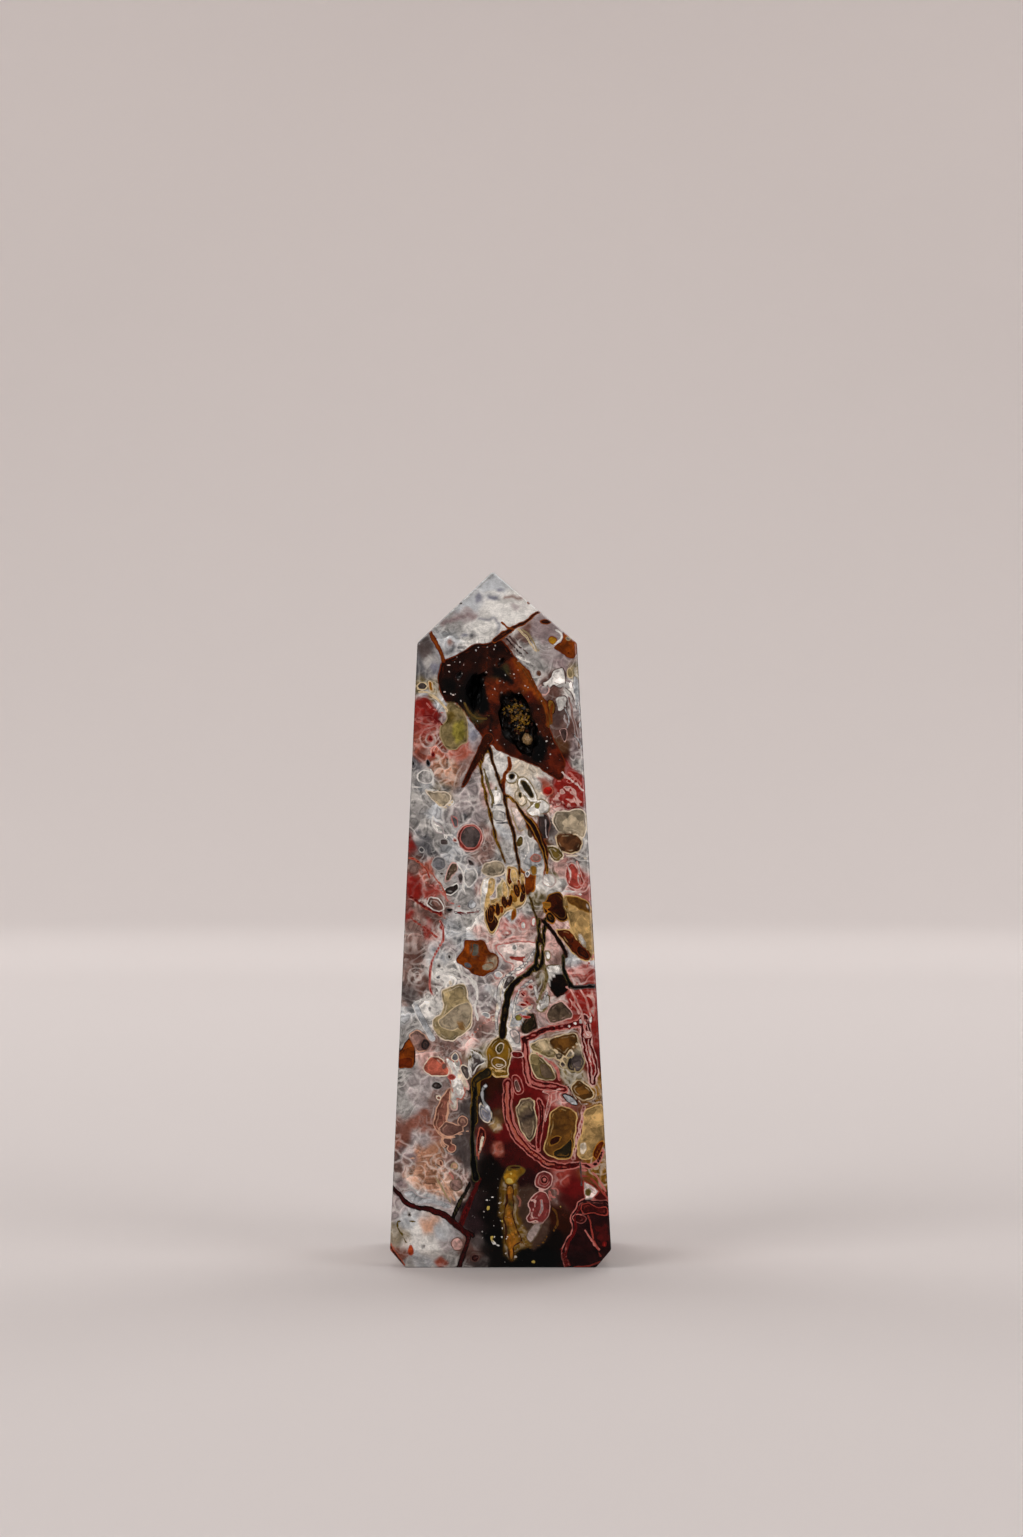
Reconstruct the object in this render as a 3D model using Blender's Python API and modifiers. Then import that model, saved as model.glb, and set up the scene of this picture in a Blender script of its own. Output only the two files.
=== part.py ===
"""A crazy lace agate tower: a four-sided polished point with a small vug that druse grows in.

Metres, +Z up. The origin is the middle of the foot, and the front face looks along -Y.
"""

import math
import random

import bmesh
import bpy
from mathutils import Euler, Matrix, Vector, noise

# The tower, as its front face shows it. It is as deep as it is wide.
POINT_HEIGHT = 0.1002  # before the ridges are eased
SHOULDER_HEIGHT = 0.0893
CHAMFER_HEIGHT = 0.0028
FOOT_WIDTH = 0.0273
BODY_WIDTH = 0.0315  # the widest, just above the foot's chamfer
SHOULDER_WIDTH = 0.0229
SHOULDER_LEAN = -0.0005  # a hand-cut stone leans a little
POINT_LEAN = -0.0012

# How far each edge is eased by polishing.
CORNER_EASE = 0.0004
RIDGE_EASE = 0.0002
EASE_STEPS = 2

# The vug's open pockets: place across and up the front face, half width, half height, depth, lean.
LEFT_POCKET = dict(across=-0.0037, up=0.0824, half_width=0.0012, half_height=0.0029, depth=0.0030, lean=8)
DRUSE_POCKET = dict(across=0.0026, up=0.0780, half_width=0.0025, half_height=0.0047, depth=0.0045, lean=-20)
PINHOLES = (
    dict(across=-0.0023, up=0.0848, half_width=0.0004, half_height=0.0004, depth=0.0008, lean=0),
    dict(across=-0.0060, up=0.0846, half_width=0.0005, half_height=0.0007, depth=0.0006, lean=30),
    dict(across=0.0001, up=0.0866, half_width=0.0004, half_height=0.0008, depth=0.0006, lean=35),
)
POCKET_ROUGHNESS = 0.16  # of the pocket's own size
POCKET_LUMPS = 1.9  # lumps across a pocket

# The druse: a floor at the back of its pocket and the crystals that stand on it.
DRUSE_SCALE = 0.86  # keeps the druse clear of the pocket's wall
FLOOR_DEPTH = 0.0019  # below the polished face
CRYSTAL_SIDES = 6
CRYSTAL_RADIUS = (0.00045, 0.00085)
CRYSTAL_LENGTH = (0.0008, 0.0015)
CRYSTAL_TILT = 32
CRYSTAL_ROWS = 6
CRYSTALS_IN_ROW = 3
ROOTED_WITHIN = 0.62  # of the pocket's own size, so each crystal's root is in the floor
LUMP_RADIUS = 0.0008
LUMP_PLACE = (0.0003, 0.0014, -0.0022)  # from the pocket's middle: its width, depth and height

AGATE = dict(color=(0.30, 0.20, 0.16, 1.0), roughness=0.10)
DRUSE = dict(color=(0.16, 0.08, 0.025, 1.0), roughness=0.25)


def clear_scene():
    for old in list(bpy.data.objects):
        bpy.data.objects.remove(old, do_unlink=True)


def new_collection(name):
    made = bpy.data.collections.new(name)
    bpy.context.scene.collection.children.link(made)
    return made


def new_material(name, color, roughness):
    material = bpy.data.materials.new(name)
    material.use_nodes = True
    shader = material.node_tree.nodes["Principled BSDF"]
    shader.inputs["Base Color"].default_value = color
    shader.inputs["Roughness"].default_value = roughness
    shader.inputs["Metallic"].default_value = 0.0
    return material


def new_object(name, bm, collection, material=None):
    mesh = bpy.data.meshes.new(name)
    bm.to_mesh(mesh)
    bm.free()
    made = bpy.data.objects.new(name, mesh)
    collection.objects.link(made)
    if material:
        mesh.materials.append(material)
    return made


def hide_helper(helper):
    helper.hide_render = True
    helper.display_type = "WIRE"


def front_face_y(height):
    """The front face at this height, which tapers between the body and the shoulder."""
    share = (height - CHAMFER_HEIGHT) / (SHOULDER_HEIGHT - CHAMFER_HEIGHT)
    return -0.5 * (BODY_WIDTH + share * (SHOULDER_WIDTH - BODY_WIDTH))


def face_at(bm, up):
    """The face that looks straight up, or straight down."""
    return max(bm.faces, key=lambda face: face.normal.z * up)


def place_square(verts, width, height, lean):
    """Moves four corners to a square of this width, leaning along X."""
    for vert in verts:
        vert.co.x = math.copysign(width / 2, vert.co.x) + lean
        vert.co.y = math.copysign(width / 2, vert.co.y)
        vert.co.z = height


def extruded_corners(bm, face):
    """Extrudes a face, deletes the old one and returns the new corners."""
    made = bmesh.ops.extrude_face_region(bm, geom=[face])["geom"]
    bmesh.ops.delete(bm, geom=[face], context="FACES_ONLY")
    return [item for item in made if isinstance(item, bmesh.types.BMVert)]


def tower_blank():
    """The sharp-edged tower: foot chamfer, tapered body and four-sided point."""
    bm = bmesh.new()
    bmesh.ops.create_cube(bm, size=1.0)
    bm.normal_update()
    upper = [vert for vert in bm.verts if vert.co.z > 0]
    lower = [vert for vert in bm.verts if vert.co.z < 0]
    foot = extruded_corners(bm, face_at(bm, -1))
    point = extruded_corners(bm, face_at(bm, 1))
    place_square(lower, BODY_WIDTH, CHAMFER_HEIGHT, 0)
    place_square(upper, SHOULDER_WIDTH, SHOULDER_HEIGHT, SHOULDER_LEAN)
    place_square(foot, FOOT_WIDTH, 0, 0)
    bmesh.ops.pointmerge(bm, verts=point, merge_co=(POINT_LEAN, 0, POINT_HEIGHT))
    bmesh.ops.recalc_face_normals(bm, faces=bm.faces)
    return bm


def weigh_edges(bm):
    """Marks how much each edge is eased: the four long corners most, the rest as ridges."""
    weights = bm.edges.layers.float.new("bevel_weight_edge")
    for edge in bm.edges:
        is_corner = edge.calc_length() > SHOULDER_HEIGHT / 2
        edge[weights] = 1.0 if is_corner else RIDGE_EASE / CORNER_EASE


def make_tower(collection):
    bm = tower_blank()
    weigh_edges(bm)
    tower = new_object("agate_tower", bm, collection, new_material("polished_agate", **AGATE))
    ease = tower.modifiers.new("eased_edges", "BEVEL")
    ease.limit_method = "WEIGHT"
    ease.width = CORNER_EASE
    ease.segments = EASE_STEPS
    return tower


def pocket_place(across, up, lean, **_sizes):
    """A pocket's own axes: its middle lies on the front face, and its depth runs along +Y."""
    middle = Vector((across, front_face_y(up), up))
    return Matrix.Translation(middle) @ Euler((0, math.radians(lean), 0)).to_matrix().to_4x4()


def pocket_shape(pocket, detail, scale=1.0):
    """A lumpy ellipsoid about the pocket's middle, as large as the pocket times scale."""
    bm = bmesh.new()
    bmesh.ops.create_icosphere(bm, subdivisions=detail, radius=1.0)
    radii = Vector((pocket["half_width"], pocket["depth"], pocket["half_height"]))
    seat = Vector((pocket["across"], 0, pocket["up"])) * 1000
    for vert in bm.verts:
        lump = noise.noise(vert.co * POCKET_LUMPS + seat)
        vert.co *= scale * (1 + POCKET_ROUGHNESS * 2 * lump)
        vert.co = Vector(a * b for a, b in zip(vert.co, radii))
    bm.transform(pocket_place(**pocket))
    return bm


def cut_pocket(tower, name, pocket, detail, helpers):
    cutter = new_object(name, pocket_shape(pocket, detail), helpers)
    hide_helper(cutter)
    cut = tower.modifiers.new(name, "BOOLEAN")
    cut.operation = "DIFFERENCE"
    cut.object = cutter


def druse_floor(pocket):
    """A block that fills the back of the pocket, up to the floor that crystals stand on."""
    bm = bmesh.new()
    bmesh.ops.create_cube(bm, size=1.0)
    bmesh.ops.scale(
        bm,
        verts=bm.verts,
        vec=(3 * pocket["half_width"], 2 * pocket["depth"], 3 * pocket["half_height"]),
    )
    bmesh.ops.translate(bm, verts=bm.verts, vec=(0, FLOOR_DEPTH + pocket["depth"], 0))
    bm.transform(pocket_place(**pocket))
    return bm


def crystal_shape(radius, length, turn):
    """A six-sided crystal from the floor towards the face, its root sunk in the floor."""
    bm = bmesh.new()
    bmesh.ops.create_cone(
        bm,
        cap_ends=True,
        segments=CRYSTAL_SIDES,
        radius1=radius,
        radius2=radius * 0.12,
        depth=2 * length,
    )
    bm.transform(turn)
    return bm


def crystal_places(pocket, chance):
    """Yields each crystal's place on the floor, across and along the pocket."""
    for row in range(CRYSTAL_ROWS):
        along = (row - (CRYSTAL_ROWS - 1) / 2) / (CRYSTAL_ROWS / 2)
        for column in range(CRYSTALS_IN_ROW):
            across = (column - (CRYSTALS_IN_ROW - 1) / 2 + 0.5 * (row % 2)) / CRYSTALS_IN_ROW
            across = 1.2 * across + chance.uniform(-0.1, 0.1)
            upward = 0.72 * along + chance.uniform(-0.06, 0.06)
            if math.hypot(across, upward) < ROOTED_WITHIN:
                yield pocket["half_width"] * across, pocket["half_height"] * upward


def join_by(target, helper, operation):
    step = target.modifiers.new(helper.name, "BOOLEAN")
    step.operation = operation
    step.object = helper
    hide_helper(helper)


def make_druse(collection, helpers):
    """One crust: its floor, a rounded lump and the crystals, trimmed to the pocket's own shape."""
    chance = random.Random(7)
    place = pocket_place(**DRUSE_POCKET)
    druse = new_object(
        "vug_druse", druse_floor(DRUSE_POCKET), collection, new_material("golden_druse", **DRUSE)
    )
    for number, (across, along) in enumerate(crystal_places(DRUSE_POCKET, chance)):
        tilt = Euler((math.radians(90 + chance.uniform(-CRYSTAL_TILT, CRYSTAL_TILT)), 0, 0))
        swing = Euler((0, 0, math.radians(chance.uniform(-CRYSTAL_TILT, CRYSTAL_TILT))))
        turn = swing.to_matrix().to_4x4() @ tilt.to_matrix().to_4x4()
        spin = Matrix.Rotation(chance.uniform(0, math.tau), 4, "Z")
        root = Matrix.Translation((across, FLOOR_DEPTH, along))
        shape = crystal_shape(
            chance.uniform(*CRYSTAL_RADIUS),
            chance.uniform(*CRYSTAL_LENGTH),
            place @ root @ turn @ spin,
        )
        join_by(druse, new_object(f"crystal_{number:02d}", shape, helpers), "UNION")
    lump = bmesh.new()
    bmesh.ops.create_icosphere(lump, subdivisions=2, radius=LUMP_RADIUS)
    lump.transform(place @ Matrix.Translation(LUMP_PLACE))
    join_by(druse, new_object("rounded_lump", lump, helpers), "UNION")
    envelope = new_object("druse_envelope", pocket_shape(DRUSE_POCKET, 3, DRUSE_SCALE), helpers)
    join_by(druse, envelope, "INTERSECT")


def main():
    clear_scene()
    parts = new_collection("crazy_lace_agate_tower")
    helpers = new_collection("cutters")
    tower = make_tower(parts)
    cut_pocket(tower, "left_pocket", LEFT_POCKET, 3, helpers)
    cut_pocket(tower, "druse_pocket", DRUSE_POCKET, 3, helpers)
    for number, pinhole in enumerate(PINHOLES):
        cut_pocket(tower, f"pinhole_{number}", pinhole, 2, helpers)
    make_druse(parts, helpers)


main()
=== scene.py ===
"""Looks of a crazy lace agate tower: its polished, patterned stone and the crystals in its vug.

Lengths are metres in the meshes and millimetres in the stone's pattern. The front face looks along -Y.
The pattern is drawn on the front face, as named marks, and runs on round the other faces.
"""

from __future__ import annotations

import logging
import math
import random
from collections.abc import Callable, Iterator
from dataclasses import dataclass, field
from enum import Enum

import bmesh
import bpy
import numpy as np
from mathutils import Euler, Matrix, Vector, noise

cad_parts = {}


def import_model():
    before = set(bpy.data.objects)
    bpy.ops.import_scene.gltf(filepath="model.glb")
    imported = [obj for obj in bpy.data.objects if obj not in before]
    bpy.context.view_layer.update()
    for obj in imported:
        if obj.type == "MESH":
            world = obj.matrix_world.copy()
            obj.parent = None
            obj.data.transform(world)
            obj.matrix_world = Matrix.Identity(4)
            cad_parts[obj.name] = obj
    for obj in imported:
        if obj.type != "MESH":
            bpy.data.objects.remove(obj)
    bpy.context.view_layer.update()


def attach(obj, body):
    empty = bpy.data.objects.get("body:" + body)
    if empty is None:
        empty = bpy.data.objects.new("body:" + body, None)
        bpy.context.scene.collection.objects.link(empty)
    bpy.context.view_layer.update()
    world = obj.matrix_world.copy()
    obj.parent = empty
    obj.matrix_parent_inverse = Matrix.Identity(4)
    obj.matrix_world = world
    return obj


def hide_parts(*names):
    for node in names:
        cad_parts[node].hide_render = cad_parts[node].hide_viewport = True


LOG = logging.getLogger("agate_tower")
MM = 0.001
STONE_IOR = 1.54  # how strongly quartz bends light

# How the drawing is laid on the stone, in millimetres.
FAR = 9.0  # the distance kept where no mark is near
REACH = 3.0  # how far round a mark its distance is kept
CORNER_REACH = 6.0  # how far the front's marks go on round its corners
AWAY = 99.0  # a place that no mark reaches
ON_FRONT = -9.0  # the way round the tower that points on the front face have
MID_HALF_WIDTH = 13.5  # half the tower's width at mid height
FAR_SIDE_RUN = 82  # how much of a far side's height its marks are spread over
SOFT_EDGE = 0.7  # how wide a soft mark's edge is on the ground
SHADE_EDGE = 0.55  # the same inside the clasts and the vug

# Seeds that pick the folds of the soft clouds.
GROUND_FOLDS = 11
VUG_FOLDS = 23


class Tone(Enum):
    """The stone's colours, as the eye sees them: red, green and blue out of 255."""

    SNOW = (221, 218, 213)
    SNOW_PINK = (214, 200, 194)
    CLOUD = (190, 192, 194)
    MIST = (168, 165, 162)
    LILAC_MIST = (174, 164, 163)
    PALE_LILAC = (182, 166, 160)
    BLUE_GREY = (138, 138, 148)
    LILAC = (148, 132, 132)
    STEEL = (116, 115, 118)
    SMOKE = (96, 86, 84)
    DARK_SMOKE = (66, 56, 54)
    BROWN_GREY = (112, 96, 80)
    BROWN_SMOKE = (88, 66, 54)
    STEEL_BROWN = (110, 108, 98)
    MAUVE = (118, 88, 80)
    PLUM_GREY = (92, 72, 68)
    PLUM = (56, 40, 42)
    IVORY = (220, 208, 190)
    CREAM = (208, 190, 158)
    HONEY_CREAM = (206, 176, 122)
    PALE_GOLD = (206, 184, 104)
    PALE_OLIVE = (178, 164, 128)
    BEIGE_GREY = (160, 148, 128)
    BEIGE = (164, 148, 114)
    SAND = (176, 148, 102)
    KHAKI = (134, 120, 86)
    TAN = (146, 116, 78)
    TAN_BROWN = (98, 66, 42)
    MOSS = (142, 132, 66)
    OCHRE = (150, 110, 44)
    OCHRE_BROWN = (112, 78, 34)
    GOLD = (166, 126, 38)
    HONEY = (176, 118, 40)
    OLIVE_GOLD = (126, 96, 30)
    OLIVE = (100, 84, 42)
    OLIVE_DARK = (72, 66, 40)
    DARK_OLIVE = (50, 42, 26)
    AMBER = (136, 70, 14)
    RUST = (108, 46, 11)
    DARK_RUST = (92, 33, 7)
    DARK_UMBER = (48, 18, 6)
    UMBER = (66, 27, 8)
    SOOT = (22, 12, 8)
    BLACK = (9, 6, 6)
    PALE_PEACH = (206, 166, 142)
    PEACH = (184, 138, 112)
    SALMON = (176, 102, 84)
    PALE_PINK = (208, 172, 164)
    PINK = (190, 122, 114)
    PINK_GREY = (152, 124, 116)
    ROSE_GREY = (146, 98, 84)
    ROSE = (160, 74, 64)
    DUSKY_ROSE = (128, 60, 58)
    ORANGE = (190, 88, 46)
    HOT_RED = (176, 40, 30)
    RED = (152, 46, 38)
    CRIMSON = (112, 24, 24)
    CRIMSON_DARK = (76, 18, 16)
    GARNET = (80, 22, 20)
    WINE = (50, 18, 19)

    def light(self) -> np.ndarray:
        """Returns the colour as linear light, which shaders and blends need."""
        seen = np.array(self.value) / 255.0
        return np.where(seen <= 0.04045, seen / 12.92, ((seen + 0.055) / 1.055) ** 2.4)


class Layer(Enum):
    """What a mark is drawn over: each layer covers the ones before it, and the soft ones blend in."""

    SOFT = "soft"
    BED = "bed"
    CELL = "cell"
    SHADE = "shade"
    CORE = "core"
    LINE = "line"
    VEIN = "vein"


# The layers with sharp edges, from the lowest to the top one.
CRISP_LAYERS = (Layer.BED, Layer.CELL, Layer.CORE, Layer.LINE, Layer.VEIN)


def traced(text: str) -> np.ndarray:
    """Reads points written as "across,up across,up ..." in millimetres on the face.

    Args:
        text: the points, each with two or more numbers between commas.

    Returns:
        One row for each point.
    """
    return np.array([[float(number) for number in point.split(",")] for point in text.split()])


def softened(points: np.ndarray, closed: bool, cut_share: float) -> np.ndarray:
    """Cuts the corners of a line twice, so that a few hand-placed points give a smooth one.

    Args:
        points: the line's points, one row each.
        closed: whether the last point runs on to the first.
        cut_share: how much of each side a corner's cut takes, up to a quarter.

    Returns:
        The smoother line's points.
    """
    for _ in range(2):
        after = np.roll(points, -1, axis=0)
        near = (1 - cut_share) * points + cut_share * after
        far = cut_share * points + (1 - cut_share) * after
        cut = np.stack([near, far], axis=1).reshape(-1, points.shape[1])
        points = cut if closed else np.vstack([points[:1], cut[:-2], points[-1:]])
    return points


@dataclass(frozen=True)
class Mark:
    """Something with an edge in the stone's pattern."""

    name: str
    fill: Tone
    rim: Tone

    def parts(self) -> list[Mark]:
        """Returns the single marks that this one stands for."""
        return [self]

    def box(self) -> tuple[float, float, float, float]:
        """Returns the mark's lowest across and up, then its highest."""
        raise NotImplementedError

    def distance(self, across: np.ndarray, up: np.ndarray) -> np.ndarray:
        """Returns how far each point lies outside the mark's edge in mm, less than 0 inside."""
        raise NotImplementedError


@dataclass(frozen=True)
class Patch(Mark):
    """A closed area: a cell, a clast or a flake."""

    outline: str

    def corners(self) -> np.ndarray:
        """Returns the outline's points, its corners softened."""
        return softened(traced(self.outline), closed=True, cut_share=0.16)

    def box(self) -> tuple[float, float, float, float]:
        """Returns the patch's lowest across and up, then its highest."""
        points = traced(self.outline)
        return (*points.min(axis=0), *points.max(axis=0))

    def distance(self, across: np.ndarray, up: np.ndarray) -> np.ndarray:
        """Returns the signed distance to the outline.

        Args:
            across: where the points lie across the face.
            up: where they lie up the face.

        Returns:
            The distance in mm, less than 0 inside the patch.
        """
        points = self.corners()
        nearest = np.full(across.shape, np.inf)
        inside = np.zeros(across.shape, dtype=bool)
        for start, end in zip(points, np.roll(points, -1, axis=0)):
            run = end - start
            length = max(run @ run, 1e-9)
            share = np.clip(((across - start[0]) * run[0] + (up - start[1]) * run[1]) / length, 0, 1)
            off = np.hypot(across - start[0] - share * run[0], up - start[1] - share * run[1])
            nearest = np.minimum(nearest, off)
            if start[1] != end[1]:
                spans = (up < start[1]) != (up < end[1])
                crossing = start[0] + (up - start[1]) * run[0] / run[1]
                inside ^= spans & (across < crossing)
        return np.where(inside, -nearest, nearest)


@dataclass(frozen=True)
class Vein(Mark):
    """A line that has a width, given with each of its points."""

    path: str

    def box(self) -> tuple[float, float, float, float]:
        """Returns the vein's lowest across and up, then its highest."""
        points = traced(self.path)
        wide = points[:, 2].max()
        return (*(points[:, :2].min(axis=0) - wide), *(points[:, :2].max(axis=0) + wide))

    def distance(self, across: np.ndarray, up: np.ndarray) -> np.ndarray:
        """Returns the distance to the vein's side.

        Args:
            across: where the points lie across the face.
            up: where they lie up the face.

        Returns:
            The distance in mm, less than 0 inside the vein.
        """
        points = softened(traced(self.path), closed=False, cut_share=0.25)
        nearest = np.full(across.shape, np.inf)
        for start, end in zip(points[:-1], points[1:]):
            run = end - start
            length = max(run[:2] @ run[:2], 1e-9)
            share = np.clip(((across - start[0]) * run[0] + (up - start[1]) * run[1]) / length, 0, 1)
            off = np.hypot(across - start[0] - share * run[0], up - start[1] - share * run[1])
            nearest = np.minimum(nearest, off - 0.5 * (start[2] + share * run[2]))
        return nearest


@dataclass(frozen=True)
class Veins(Mark):
    """Veins of the same colours, with a stroke between one path and the next."""

    paths: str

    def parts(self) -> list[Mark]:
        """Returns one vein for each path."""
        paths = enumerate(self.paths.split(" / "))
        return [Vein(f"{self.name}_{number}", self.fill, self.rim, path) for number, path in paths]


@dataclass(frozen=True)
class Spot(Mark):
    """A round or oval spot."""

    middle: tuple[float, float]
    radii: tuple[float, float]
    turn: float = 0.0

    def box(self) -> tuple[float, float, float, float]:
        """Returns the spot's lowest across and up, then its highest."""
        wide = max(self.radii)
        across, up = self.middle
        return (across - wide, up - wide, across + wide, up + wide)

    def distance(self, across: np.ndarray, up: np.ndarray) -> np.ndarray:
        """Returns the distance to the spot's edge.

        Args:
            across: where the points lie across the face.
            up: where they lie up the face.

        Returns:
            The distance in mm, less than 0 inside the spot.
        """
        angle = math.radians(-self.turn)
        right = across - self.middle[0]
        above = up - self.middle[1]
        along = right * math.cos(angle) + above * math.sin(angle)
        aside = above * math.cos(angle) - right * math.sin(angle)
        share = np.hypot(along / self.radii[0], aside / self.radii[1])
        slope = np.hypot(along / self.radii[0] ** 2, aside / self.radii[1] ** 2)
        return share * (share - 1) / np.maximum(slope, 1e-6)


@dataclass(frozen=True)
class Spots(Mark):
    """Spots of the same colours, each written as across,up,half width,half height and its turn, if any."""

    places: str

    def parts(self) -> list[Mark]:
        """Returns one spot for each place."""
        made = []
        for number, place in enumerate(self.places.split()):
            across, up, half_width, half_height, *turn = (float(part) for part in place.split(","))
            name = f"{self.name}_{number}"
            made.append(Spot(name, self.fill, self.rim, (across, up), (half_width, half_height), *turn))
        return made


@dataclass(frozen=True)
class Wash:
    """A soft cloud of one colour: the places it lies at and how far it reaches from each, in mm."""

    tone: Tone
    places: str


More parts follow.
